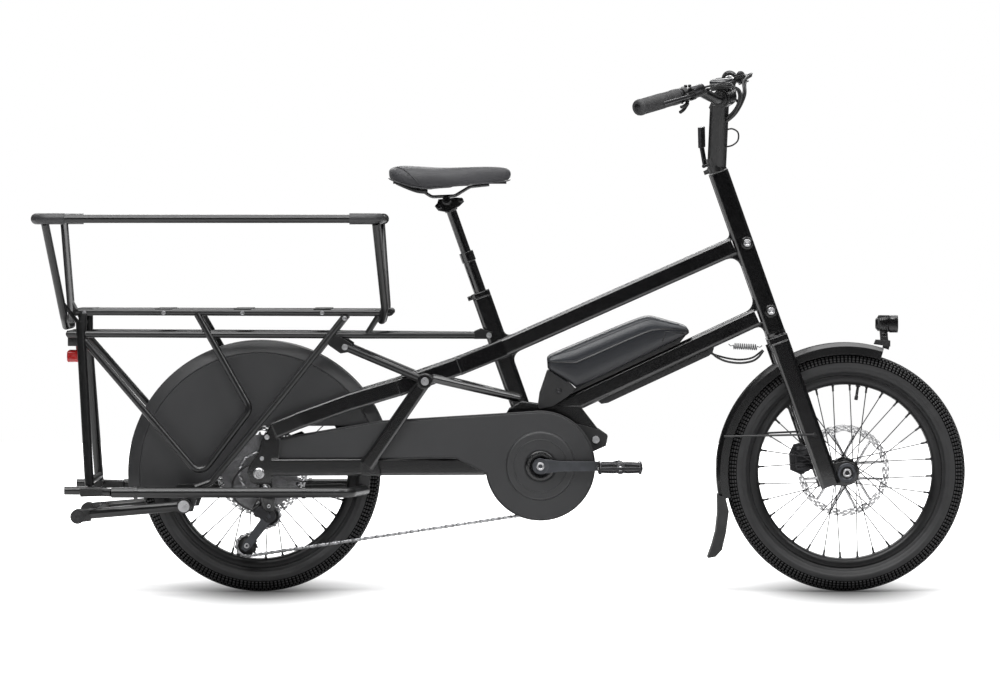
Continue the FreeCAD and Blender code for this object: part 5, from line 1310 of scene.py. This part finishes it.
def build_hoses():
    # from the frame to the fork, under the spring
    part = Part()
    part.bend([(0.4530, -0.008, 0.5200), (0.468, -0.010, 0.5085), (0.488, -0.013, 0.5005),
               (0.515, -0.016, 0.4975), (0.540, -0.015, 0.5010), (0.5555, -0.011, 0.5100),
               (0.5665, -0.006, 0.5240)], 8, HOSE_R, 10)
    part.bend([(0.4500, 0.006, 0.5190), (0.470, 0.008, 0.5120), (0.495, 0.010, 0.5060),
               (0.520, 0.012, 0.5040), (0.545, 0.010, 0.5090), (0.566, 0.006, 0.5250)],
              8, 0.0022, 10)
    hoses = part.make("fork_hoses", "cable", None, 60.0)
    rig.blend(hoses, "chassis", "fork", start=(0.475, 0, 0.505), end=(0.562, 0, 0.520))
    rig.replaces(hoses, "frame_cables")

    # one along each side of the rear frame, then a loop behind into the derailleur
    part = Part()
    part.bend([(0.020, 0.064, 0.302), (-0.060, 0.068, 0.2925), (-0.150, 0.066, 0.2895),
               (-0.250, 0.063, 0.2895), (-0.360, 0.063, 0.2905), (-0.410, 0.062, 0.2990),
               (-0.4285, 0.060, 0.3200)], 8, HOSE_R, 10)
    part.bend([(-0.240, -0.0585, 0.2890), (-0.300, -0.061, 0.2865),
               (-0.380, -0.0655, 0.2865), (-0.440, -0.070, 0.2860)], 8, HOSE_R, 10)
    part.bend([(-0.545, -0.0865, 0.281), (-0.566, -0.0875, 0.268), (-0.583, -0.0885, 0.240),
               (-0.580, -0.0885, 0.208), (-0.560, -0.0880, 0.190),
               (-0.5385, -0.0890, 0.1800)], 8, 0.0024, 10)
    part.make("stay_hoses", "cable", "chassis", 60.0)

    # down the left fork leg to the caliper, with two clips
    part = Part()
    leg = [STEER_FRAME @ Vector((-0.0236, 0.062, z / 1000))
           for z in (-392, -430, -500, -570, -620)]
    leg += [Vector((0.655, 0.055, 0.335)), Vector((0.652, 0.050, 0.3185))]
    part.bend(leg, 8, HOSE_R, 10)
    for top in (-440, -560):
        part.tube([STEER_FRAME @ Vector((-0.0222, 0.062, z / 1000)) for z in (top, top - 9)],
                  0.0042, 12)
    part.make("fork_hose_left", "cable", "fork", 60.0)


# ------------------------------------------------------------------ battery

# Stations from back to front, in mm: lower x, z; upper x, z; share of the full width.
BATTERY = [
    (97.7, 486.5, 96.2, 506.0, 0.80), (98.4, 484.6, 97.2, 510.6, 0.92),
    (104.0, 480.8, 102.5, 515.6, 0.985), (112.0, 475.6, 110.0, 519.2, 1.0),
    (131.0, 463.9, 128.0, 526.9, 1.0), (150.0, 452.1, 146.0, 534.5, 1.0),
    (158.5, 444.6, 158.0, 539.5, 1.0), (190.0, 459.2, 190.0, 552.9, 1.0),
    (240.0, 482.9, 240.0, 573.8, 1.0), (270.0, 497.2, 268.0, 585.2, 1.0),
    (290.0, 506.7, 286.0, 592.2, 1.0), (304.0, 513.4, 297.0, 596.2, 1.0),
    (320.0, 521.0, 308.0, 599.2, 1.0), (334.0, 527.7, 318.0, 600.6, 1.0),
    (347.0, 533.8, 330.0, 598.6, 1.0), (362.0, 541.0, 345.0, 594.5, 1.0),
    (378.0, 548.6, 364.0, 589.2, 1.0), (390.0, 554.3, 382.0, 584.2, 0.995),
    (397.0, 557.7, 394.0, 580.4, 0.97), (401.5, 560.6, 399.0, 576.5, 0.93),
    (404.2, 563.2, 403.0, 570.5, 0.84)]
# Half section: share of the height, half width.
BATTERY_SECTION = [
    (0.0, 0.0350), (0.02, 0.0385), (0.06, 0.0415), (0.14, 0.0440), (0.28, 0.0449),
    (0.45, 0.0450), (0.56, 0.0448), (0.585, 0.0446), (0.592, 0.0438), (0.600, 0.0437),
    (0.608, 0.0442), (0.66, 0.0437), (0.73, 0.0425), (0.80, 0.0405), (0.86, 0.0378),
    (0.91, 0.0342), (0.95, 0.0296), (0.98, 0.0235), (1.0, 0.0150)]
SEAM = 0.600                          # height share where the two shells meet


def battery_point(station, height, y):
    """A point at a share of the height; y is scaled by the station's width."""
    low_x, low_z, high_x, high_z, width = station
    return Vector(((low_x + (high_x - low_x) * height) / 1000, y * width,
                   (low_z + (high_z - low_z) * height) / 1000))


def battery_shell(section):
    part = Part()
    ring = section + [(height, -half) for height, half in section[::-1]]
    part.loft([[battery_point(station, *point) for point in ring] for station in BATTERY])
    return part


def build_battery():
    lower = [point for point in BATTERY_SECTION if point[0] <= SEAM]
    upper = [point for point in BATTERY_SECTION if point[0] >= SEAM]
    case = battery_shell(lower).make("battery_case", "battery", "battery", 34.0)
    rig.replaces(case, "battery")
    battery_shell(upper).make("battery_top_shell", "battery_top", "battery", 34.0)

    # a bead under the seam, and an angular outline near the front
    part = Part()
    for side in SIDES:
        part.tube([battery_point(s, 0.565, side * 0.0447) for s in BATTERY[1:-1]], 0.0009, 6)
        part.tube([(x / 1000, side * 0.0448, z / 1000) for x, z in
                   ((346, 543.5), (352, 566), (362, 566.5), (394, 561.5))], 0.0008, 6)
    part.make("battery_seams", "gloss_plastic", "battery", 30.0)

    part = Part()
    for side in SIDES:
        part.tube([battery_point(s, 0.885, side * 0.0362) for s in BATTERY[3:-3]], 0.0010, 6)
    part.make("battery_ridges", "battery_top", "battery", 30.0)

    # lock barrel on each side of the dock
    part = Part()
    for side in SIDES:
        part.socket_head((0.1215, side * 0.0380, 0.4380), side, 28,
                         depths=(0.0, 0.0018, 0.0024, 0.0010),
                         radii=(0.0065, 0.0056, 0.0024, 0.0020))
    part.make("dock_locks", "screw", "chassis", 30.0)

    # five charge lights on the right of the top shell, rising towards the front
    part = Part()
    for k in range(5):
        run = k * 0.0085
        base = Vector((0.2120 + run, -0.0165, 0.56195 + run * 0.418))
        part.tube([base + Vector((0.0004, 0, -0.0022)), base + Vector((-0.0003, 0, 0.0001)),
                   base + Vector((-0.0004, 0, 0.0005))], [0.0017, 0.0016, 0.0011], 10)
    part.make("battery_gauge", "lens", "battery", 30.0)


# ------------------------------------------------------------------ pedals

PEDAL_HALF = 0.048                    # half the width of a pedal's plates
PEDAL_MIDDLE = 0.0485                 # middle cross arm, from the outer edge
PLATE_TEETH = 11
# Housing and hexagonal spindle: (distance from the outer edge, radius).
PEDAL_HOUSING = [(0.001, 0.0095), (0.004, 0.0115), (0.008, 0.0120), (0.012, 0.0105),
                 (0.080, 0.0105), (0.086, 0.0120), (0.092, 0.0110)]
PEDAL_SPINDLE = [(0.090, 0.0060), (0.100, 0.0060), (0.1005, 0.0078), (0.112, 0.0078)]
PEDAL_REFLECTOR = [(-0.024, -0.0065), (-0.0225, -0.0078), (0.0225, -0.0078),
                   (0.024, -0.0065), (0.024, 0.0065), (0.0225, 0.0078),
                   (-0.0225, 0.0078), (-0.024, 0.0065)]


def build_pedal(name, node, side):
    """An open cage with toothed plates fore and aft, pins and reflectors."""
    lo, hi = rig.box(node)
    mid_x, mid_z = (lo[0] + hi[0]) / 2, (lo[2] + hi[2]) / 2
    outer_y = lo[1] if side < 0 else hi[1]
    inward = Vector((0, -side, 0))

    def at(x, inboard, z=0.0):
        return Vector((mid_x + x, outer_y - side * inboard, mid_z + z))

    cage = Part()
    cage.rod(at(0, 0), inward, PEDAL_HOUSING, 24)
    outline = []
    for end in (-1, 1):
        for k in range(PLATE_TEETH + 1):
            height = 0.0125 if k % 2 else 0.0105
            u = end * (PEDAL_HALF - 2 * PEDAL_HALF * k / PLATE_TEETH)
            outline.append((u, -end * height))
    for sx in SIDES:                  # each plate bows out in its middle
        cage.prism(outline, 0.004, lambda u, v, w: at(
            sx * (0.0430 + w - 0.0032 * (abs(u) / PEDAL_HALF) ** 2),
            PEDAL_HALF + 0.002 - u, v), 0.0008)
    for t in (0.010, PEDAL_MIDDLE, 0.0875):
        for sx in SIDES:
            for sz in SIDES:
                cage.bend([at(0, t, sz * 0.0055),
                           at(sx * 0.016, t + (PEDAL_MIDDLE - t) * 0.10, sz * 0.0078),
                           at(sx * 0.0440, t, sz * 0.0062)], 6, 0.0031, 10)
    for t in (0.003, 0.0935):
        cage.bend([at(-0.0450, t + 0.001), at(-0.02, t), at(0, t - 0.0005), at(0.02, t),
                   at(0.0450, t + 0.001)], 5, 0.0044, 10)
    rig.replaces(cage.make(name + "_cage", "alloy", node, 32.0), node)

    pins = Part()
    for sx in SIDES:
        for t in (0.012, 0.031, 0.050, 0.069, 0.088):
            for sz in SIDES:
                pins.rod(at(sx * 0.0415, t), UP * sz,
                         [(0.004, 0.0017), (0.0126, 0.0016), (0.0129, 0.0011)], 8)
    pins.rod(at(0, 0), inward, PEDAL_SPINDLE, 6)
    pins.rod(at(0, 0), inward, [(0.0012, 0.0055), (0.0002, 0.0055)], 12)
    for sx in SIDES:
        for t in (0.012, 0.0885):
            pins.rod(at(sx * 0.0468, t), FORWARD * sx,
                     [(0.0, 0.0030), (0.0010, 0.0030), (0.0014, 0.0022)], 12)
    pins.make(name + "_pins", "silver_screw", node, 30.0)

    reflectors = Part()
    for sx in SIDES:
        reflectors.prism(PEDAL_REFLECTOR, 0.0022, lambda u, v, w: at(
            sx * (0.0458 + w), PEDAL_HALF + 0.002 - u, v), 0.0006)
    reflectors.make(name + "_reflectors", "gloss_plastic", node, 30.0)


# ------------------------------------------------------------------ cranks, bosses and axle

BOSSES = ((0.5302, 0.7583), (0.5823, 0.6107))    # x, z of the frame's side bosses
BOSS_Y = 0.0300


def build_crank_details():
    lo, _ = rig.box("chainring_cover")
    face = Vector((BRACKET.x, lo[1], BRACKET.z))   # middle of the cover's right face
    part = Part()
    part.turned([(0.001, 0.0560), (-0.0006, 0.0564), (-0.0008, 0.0572), (-0.0006, 0.0580),
                 (0.001, 0.0584)], face, 128)
    part.make("cover_ring", "cover", "chassis", 30.0)

    part = Part()
    part.turned([(0.0012, 0.0195), (-0.0016, 0.0200), (-0.0024, 0.0215), (-0.0024, 0.0290),
                 (-0.0016, 0.0318), (0.0012, 0.0325)], face, 96)
    for k in range(24):
        angle = TURN * k / 24
        stud = face + Vector((math.cos(angle), 0, math.sin(angle))) * 0.0262
        part.rod(stud, -LEFT, [(0.0020, 0.0018), (0.0034, 0.0017), (0.0037, 0.0012)], 8)
    part.make("cover_hub", "gloss_plastic", "chassis", 30.0)

    part = Part()
    lo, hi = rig.box("crank_arms")
    for side, y in ((-1, lo[1]), (1, hi[1])):
        part.socket_head((BRACKET.x, y, BRACKET.z), side, 36,
                         depths=(-0.003, 0.0, 0.0008, -0.0016),
                         radii=(0.0088, 0.0080, 0.0048, 0.0044))
    part.make("crank_bolts", "silver_screw", "crank", 30.0)


def build_boss_and_axle_details():
    screws, washers = Part(), Part()
    for x, z in BOSSES:
        for side in SIDES:
            centre = (x, side * BOSS_Y, z)
            screws.socket_head(centre, side, 32, depths=(-0.001, 0.0014, 0.0022, 0.0006),
                               radii=(0.0082, 0.0074, 0.0040, 0.0036))
            washers.turned([(-0.0006, 0.0086), (-0.0006, 0.0128), (0.0008, 0.0126),
                            (0.0012, 0.0116), (0.0012, 0.0090), (0.0006, 0.0086)],
                           centre, 48, side)
    screws.make("boss_screws", "silver_screw", "chassis", 30.0)
    washers.make("boss_washers", "gloss_plastic", "chassis", 30.0)

    part = Part()
    for side in SIDES:
        part.turned([(0.0, 0.0122), (0.0, 0.0212), (0.0022, 0.0212), (0.0034, 0.0200),
                     (0.0034, 0.0150), (0.0026, 0.0144), (0.0026, 0.0122)],
                    (FRONT.x, side * 0.0630, FRONT.z), 64, side)
    part.make("dropout_caps", "grey_alloy", "fork", 30.0)

    part = Part()
    lo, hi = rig.box("front_axle")
    for side, y in ((-1, lo[1]), (1, hi[1])):
        part.socket_head((FRONT.x, y, FRONT.z), side, 36,
                         depths=(-0.002, 0.0002, 0.0009, -0.0014),
                         radii=(0.0092, 0.0084, 0.0052, 0.0048))
    part.make("axle_caps", "silver_screw", "fork", 30.0)


# ------------------------------------------------------------------ lamps

LAMP_BACK = 0.8120
LAMP_Z = 0.5820
# Housing from back to front and into the bezel: x, width, height, corner radius.
LAMP_SECTIONS = [
    (LAMP_BACK - 0.001, 0.020, 0.020, 0.006), (LAMP_BACK + 0.001, 0.026, 0.026, 0.008),
    (0.8240, 0.0320, 0.0320, 0.010), (0.8400, 0.0345, 0.0350, 0.010),
    (0.8408, 0.0372, 0.0376, 0.011), (0.8560, 0.0378, 0.0382, 0.011),
    (0.8583, 0.0370, 0.0374, 0.0105), (0.8583, 0.0330, 0.0334, 0.010),
    (0.8560, 0.0326, 0.0330, 0.010)]
# Side view of the stalk: (x, z).
STALK = [(0.8205, 0.5660), (0.8225, 0.5480), (0.8180, 0.5430), (0.8180, 0.5400),
         (0.8400, 0.5375), (0.8410, 0.5440), (0.8370, 0.5500), (0.8350, 0.5660)]
STALK_WIDTH = 0.013
TAIL_LENS_Z = 0.5120


def facing_x(x, z):
    """Places an outline of (y, z) in a plane across the bicycle, with depth forwards."""
    return lambda u, v, w: Vector((x + w, u, z + v))


def build_headlight():
    part = Part()
    part.loft([[Vector((x, u, LAMP_Z + v)) for u, v in rounded(width, height, radius)]
               for x, width, height, radius in LAMP_SECTIONS])
    for k in range(5):                # ribs round the back half
        x = 0.8185 + 0.0040 * k
        width = 0.027 + 0.0095 * (x - LAMP_BACK) / 0.028 * 1.1
        part.prism(rounded(width + 0.0022, width + 0.0024, 0.0105), 0.0016,
                   facing_x(x, LAMP_Z), 0.0004)
    part.make("lamp_housing", "gloss_plastic", "fork", 32.0)

    part = Part()
    part.prism(rounded(0.0322, 0.0326, 0.0098), 0.0016, facing_x(0.8562, LAMP_Z), 0.0005)
    part.make("lamp_lens", "lens", "fork", 32.0)

    part = Part()
    part.prism(STALK, STALK_WIDTH, lambda u, v, w: Vector((u, w - STALK_WIDTH / 2, v)),
               0.0012)
    for side in SIDES:                # pivot screw
        part.turned([(0.0095, 0.0), (0.0095, 0.0062), (0.0112, 0.0058), (0.0112, 0.0028),
                     (0.0100, 0.0024), (0.0100, 0.0)], (0.8290, 0, 0.5580), 24, side)
    part.make("lamp_stalk", "gloss_plastic", "fork", 32.0)


def build_tail_light():
    part = Part()
    part.prism(rounded(0.0570, 0.0250, 0.0060), 0.0045, facing_x(-0.9447, TAIL_LENS_Z),
               0.0010)
    for k in range(9):                # upright ribs on the lens
        y = -0.0240 + k * 0.0060
        part.tube([(-0.9448, y, TAIL_LENS_Z - 0.0095), (-0.9452, y, TAIL_LENS_Z),
                   (-0.9448, y, TAIL_LENS_Z + 0.0095)], 0.0011, 6)
    part.make("tail_lens", "red", "chassis", 32.0)

    # dark hood over the upper part of the lamp
    lo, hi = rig.box("tail_light")
    part = Part()
    bottom = lo[2] + 0.62 * (hi[2] - lo[2])
    part.prism(rounded(hi[0] - lo[0] + 0.0024, hi[1] - lo[1] + 0.0024, 0.0050),
               hi[2] + 0.0014 - bottom,
               lambda u, v, w: Vector(((lo[0] + hi[0]) / 2 + u, (lo[1] + hi[1]) / 2 + v,
                                       bottom + w)), 0.0012)
    part.make("tail_hood", "plastic", "chassis", 32.0)


# ------------------------------------------------------------------ derailleur

LINK_Y = -0.0945                      # right face of the outer link
# Side views of the outer link and the raised panel on it: (x, z).
LINK = [(-0.5230, 0.2330), (-0.5150, 0.2395), (-0.5030, 0.2360), (-0.4965, 0.2250),
        (-0.4930, 0.2100), (-0.4925, 0.1930), (-0.4945, 0.1800), (-0.5030, 0.1765),
        (-0.5120, 0.1800), (-0.5190, 0.1900), (-0.5235, 0.2060), (-0.5250, 0.2200)]
LINK_PANEL = [(-0.5130, 0.2260), (-0.5050, 0.2290), (-0.4985, 0.2190), (-0.4968, 0.2050),
              (-0.4975, 0.1920), (-0.5040, 0.1860), (-0.5110, 0.1900), (-0.5165, 0.2020),
              (-0.5175, 0.2150)]
# Pivot screws: x, y, z, radius.
LINK_SCREWS = [(-0.5120, -0.0952, 0.2286, 0.0060), (-0.5050, -0.0962, 0.1905, 0.0042),
               (-0.5020, -0.0962, 0.2180, 0.0036)]
CAGE_Y = -0.05645
JOCKEY_BASE_R = 0.0212
JOCKEY_TOOTH = (0.0016, 0.0008, -0.0006, 0.0008)  # radius added over the points of a tooth


def facing_y(y, x=0.0, z=0.0):
    """Places an outline of (x, z) in the bicycle's plane, with depth to the left."""
    return lambda u, v, w: Vector((x + u, y + w, z + v))


def build_derailleur():
    part = Part()
    part.prism(LINK, 0.0070, facing_y(LINK_Y), 0.0016)
    part.prism(LINK_PANEL, 0.0030, facing_y(LINK_Y - 0.0016), 0.0010)
    # barrel adjuster
    part.tube([(-0.5250, -0.0885, 0.2010), (-0.5330, -0.0885, 0.1900),
               (-0.5385, -0.0888, 0.1820)], [0.0062, 0.0052, 0.0040], 14)
    part.make("derailleur_link", "gloss_plastic", "chassis", 34.0)

    part = Part()
    for x, y, z, radius in LINK_SCREWS:
        part.socket_head((x, y, z), -1, 28, depths=(-0.002, 0.0, 0.0008, -0.0008),
                         radii=(radius, radius - 0.0008, radius * 0.52, radius * 0.48))
    part.make("derailleur_screws", "silver_screw", "chassis", 32.0)

    wheels, bolts = Part(), Part()
    outline = []
    points = 11 * len(JOCKEY_TOOTH)
    for k in range(points):
        angle = TURN * k / points
        radius = JOCKEY_BASE_R + JOCKEY_TOOTH[k % 4]
        outline.append((radius * math.cos(angle), radius * math.sin(angle)))
    for centre in (UPPER_JOCKEY, LOWER_JOCKEY):
        wheels.prism(outline, 0.0020, facing_y(CAGE_Y - 0.0010, centre.x, centre.z))
        bolts.socket_head((centre.x, CAGE_Y - 0.0078, centre.z), -1, 28,
                          depths=(-0.002, 0.0, 0.0008, -0.0006),
                          radii=(0.0058, 0.0050, 0.0028, 0.0025))
    wheels.make("jockey_wheels", "plastic", "derailleur_cage", 30.0)
    bolts.make("jockey_bolts", "silver_screw", "derailleur_cage", 30.0)


# ------------------------------------------------------------------ stand and calipers


def build_stand_plugs():
    """A round plug at each end of the stand's feet."""
    part = Part()
    lo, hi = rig.box("stand_feet")
    for side, y in ((-1, lo[1]), (1, hi[1])):
        part.socket_head((lo[0] + 0.0155, y, (lo[2] + hi[2]) / 2), side, 32,
                         depths=(-0.001, 0.0004, 0.0008, -0.0006),
                         radii=(0.0105, 0.0096, 0.0045, 0.0040))
    part.make("stand_plugs", "rubber", "stand", 30.0)


def build_caliper_cover(name, node, body):
    """A plate with four fins on a caliper's right face."""
    lo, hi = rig.box(node)
    x, z = (lo[0] + hi[0]) / 2, (lo[2] + hi[2]) / 2
    part = Part()
    part.prism(rounded((hi[0] - lo[0]) * 0.62, (hi[2] - lo[2]) * 0.80, 0.010), 0.0030,
               facing_y(lo[1] - 0.0016, x, z), 0.0010)
    for k in range(4):
        fin_z = z - 0.018 + k * 0.012
        part.tube([(x - 0.012, lo[1] - 0.0020, fin_z),
                   (x + 0.012, lo[1] - 0.0020, fin_z + 0.003)], 0.0016, 8)
    part.make(name, "alloy", body, 32.0)


# ------------------------------------------------------------------ stage, light and camera

FLOOR_LIFT = 0.42                     # glow that brings the floor to white for the camera
CONTACT_SHADE = 0.86                  # painted shadow: darkening where the tyres meet the floor
CONTACT_LENGTH, CONTACT_WIDTH = 0.25, 0.55


def floor_material():
    """White paper, with a soft oval of painted shadow round each tyre's contact."""
    made = bpy.data.materials.new("floor_paper")
    made.use_nodes = True
    shader = Shader(made.node_tree)
    calc = shader.calc
    noise = shader.node("TexNoise", {"Scale": 3.0}).outputs["Fac"]
    paper = shader.grey(shader.remap(noise, target=(0.80, 0.84)))
    position = shader.node("NewGeometry").outputs["Position"]
    place = shader.node("SeparateXYZ", {"Vector": position}).outputs
    painted_shadow = None
    # painted shadow: a soft dark oval round each tyre's contact, multiplied into the paper's colour and its glow
    for wheel_x in (FRONT.x, REAR.x):
        dx = calc("DIVIDE", calc("SUBTRACT", place["X"], wheel_x), CONTACT_LENGTH)
        dy = calc("DIVIDE", place["Y"], CONTACT_WIDTH)
        squared = calc("ADD", calc("MULTIPLY", dx, dx), calc("MULTIPLY", dy, dy))
        bell = calc("POWER", 2.71828, calc("MULTIPLY", squared, -1.6))
        light = calc("SUBTRACT", 1.0, calc("MULTIPLY", bell, CONTACT_SHADE))
        painted_shadow = calc("MULTIPLY", painted_shadow, light) if painted_shadow else light
    # beyond 0.9 m to either side of the bicycle the glow grows
    beyond = calc("SUBTRACT", calc("ABSOLUTE", place["Y"]), 0.9)
    away = calc("MULTIPLY", beyond, 0.45, clamp=True)
    glow = calc("MULTIPLY", painted_shadow, calc("ADD", FLOOR_LIFT, away))
    seen = shader.node("LightPath").outputs["Is Camera Ray"]
    shader.fill(made.node_tree.nodes["Principled BSDF"], {
        "Base Color": shader.scale(paper, painted_shadow),
        "Roughness": 1.0,
        "Specular IOR Level": 0.0,
        "Emission Color": (1, 1, 1, 1),
        "Emission Strength": calc("MULTIPLY", seen, glow),
    })
    return made


def build_floor():
    half_length, near, far, z = 7.0, -5.0, 7.0, -0.0005
    mesh = bpy.data.meshes.new("floor")
    mesh.from_pydata([(-half_length, near, z), (half_length, near, z),
                      (half_length, far, z), (-half_length, far, z)], [], [(0, 1, 2, 3)])
    paper = bpy.data.objects.new("floor", mesh)
    scene.collection.objects.link(paper)
    mesh.materials.append(floor_material())
    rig.stage(paper)


# Brightness of the surroundings: 0 is straight down, 0.5 the horizon, 1 straight up.
SKY_BELOW, SKY_ABOVE = (0.30, 0.30, 0.30, 1), (0.95, 0.95, 0.96, 1)
SKY_BANDS = ((0.47, 0.05), (0.51, 0.012), (0.58, 0.02), (0.70, 0.16), (0.78, 0.75))


def build_world():
    """White to the camera; banded grey, brighter towards +Y, to everything else."""
    world = scene.world or bpy.data.worlds.new("World")
    scene.world = world
    world.use_nodes = True
    world.node_tree.nodes.clear()
    shader = Shader(world.node_tree)
    direction = shader.node("TexCoord").outputs["Generated"]
    parts = shader.node("SeparateXYZ", {"Vector": direction}).outputs
    height = shader.remap(parts["Z"], source=(-1.0, 1.0))
    ramp = shader.node("ValToRGB", {"Fac": height})
    stops = ramp.color_ramp.elements
    stops[0].position, stops[0].color = 0.0, SKY_BELOW
    stops[1].position, stops[1].color = 1.0, SKY_ABOVE
    for position, grey in SKY_BANDS:
        stops.new(position).color = (grey, grey, grey * 1.01, 1)
    side = shader.remap(parts["Y"], source=(-0.6, 0.6), target=(0.55, 1.6))
    sky = shader.node("Background", {
        "Color": shader.scale(ramp.outputs["Color"], side), "Strength": 0.75})
    white = shader.node("Background", {"Color": (1, 1, 1, 1), "Strength": 1.0})
    blend = shader.node("MixShader", {
        "Fac": shader.node("LightPath").outputs["Is Camera Ray"],
        1: sky.outputs["Background"], 2: white.outputs["Background"]})
    shader.node("OutputWorld", {"Surface": blend.outputs["Shader"]})


def stand_and_aim(name, data, at, target):
    made = bpy.data.objects.new(name, data)
    scene.collection.objects.link(made)
    made.location = at
    aim = Vector(target) - Vector(at)
    made.rotation_euler = aim.to_track_quat("-Z", "Y").to_euler()
    return made


def area_light(name, at, target, width, height, power):
    light = bpy.data.lights.new(name, "AREA")
    light.shape = "RECTANGLE"
    light.size = width
    light.size_y = height
    light.energy = power
    stand_and_aim(name, light, at, target)


def build_lights():
    area_light("top_box", at=(0.0, -0.6, 4.2), target=(0.0, 0.0, 0.4),
               width=5.0, height=2.6, power=150)
    area_light("key_box", at=(-1.6, -3.6, 4.4), target=(0.0, 0.0, 0.5),
               width=3.6, height=1.4, power=150)
    area_light("fill_box", at=(3.2, -3.2, 3.6), target=(0.2, 0.0, 0.5),
               width=1.6, height=1.6, power=60)
    area_light("back_strip", at=(0.0, 3.6, 2.6), target=(0.0, 0.0, 0.6),
               width=5.0, height=0.8, power=70)


def build_camera():
    """A long lens that looks at the bicycle's right side."""
    camera = bpy.data.cameras.new("camera")
    camera.sensor_width = 36.0
    camera.lens = 173.8
    camera.clip_end = 200
    scene.camera = stand_and_aim("camera", camera, at=(-0.006, -10.5, 0.808),
                                 target=(-0.006, 0.0, 0.547))
    scene.view_settings.view_transform = "Standard"
    scene.view_settings.look = "None"


# ------------------------------------------------------------------ build

finish_cad_pieces()
build_wheels()
build_saddle_cover()
build_saddle_trim()
build_grips()
build_controls()
build_cockpit_cables()
build_display()
build_chain()
build_spring()
build_hoses()
build_battery()
build_pedal("pedal_r", "pedal_right", -1)
build_pedal("pedal_l", "pedal_left", 1)
build_crank_details()
build_boss_and_axle_details()
build_headlight()
build_tail_light()
build_derailleur()
build_stand_plugs()
build_caliper_cover("front_caliper_cover", "front_caliper", "fork")
build_caliper_cover("rear_caliper_cover", "rear_caliper", "chassis")
for cad_piece in NODES.values():
    smooth(cad_piece, 32.0)
build_floor()
build_world()
build_lights()
build_camera()

VIS_BOX = [list(map(float, v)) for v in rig.bounds()]
with open("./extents.json", "w") as fh:
    json.dump({"cad": CAD_BOX, "visual": VIS_BOX}, fh)
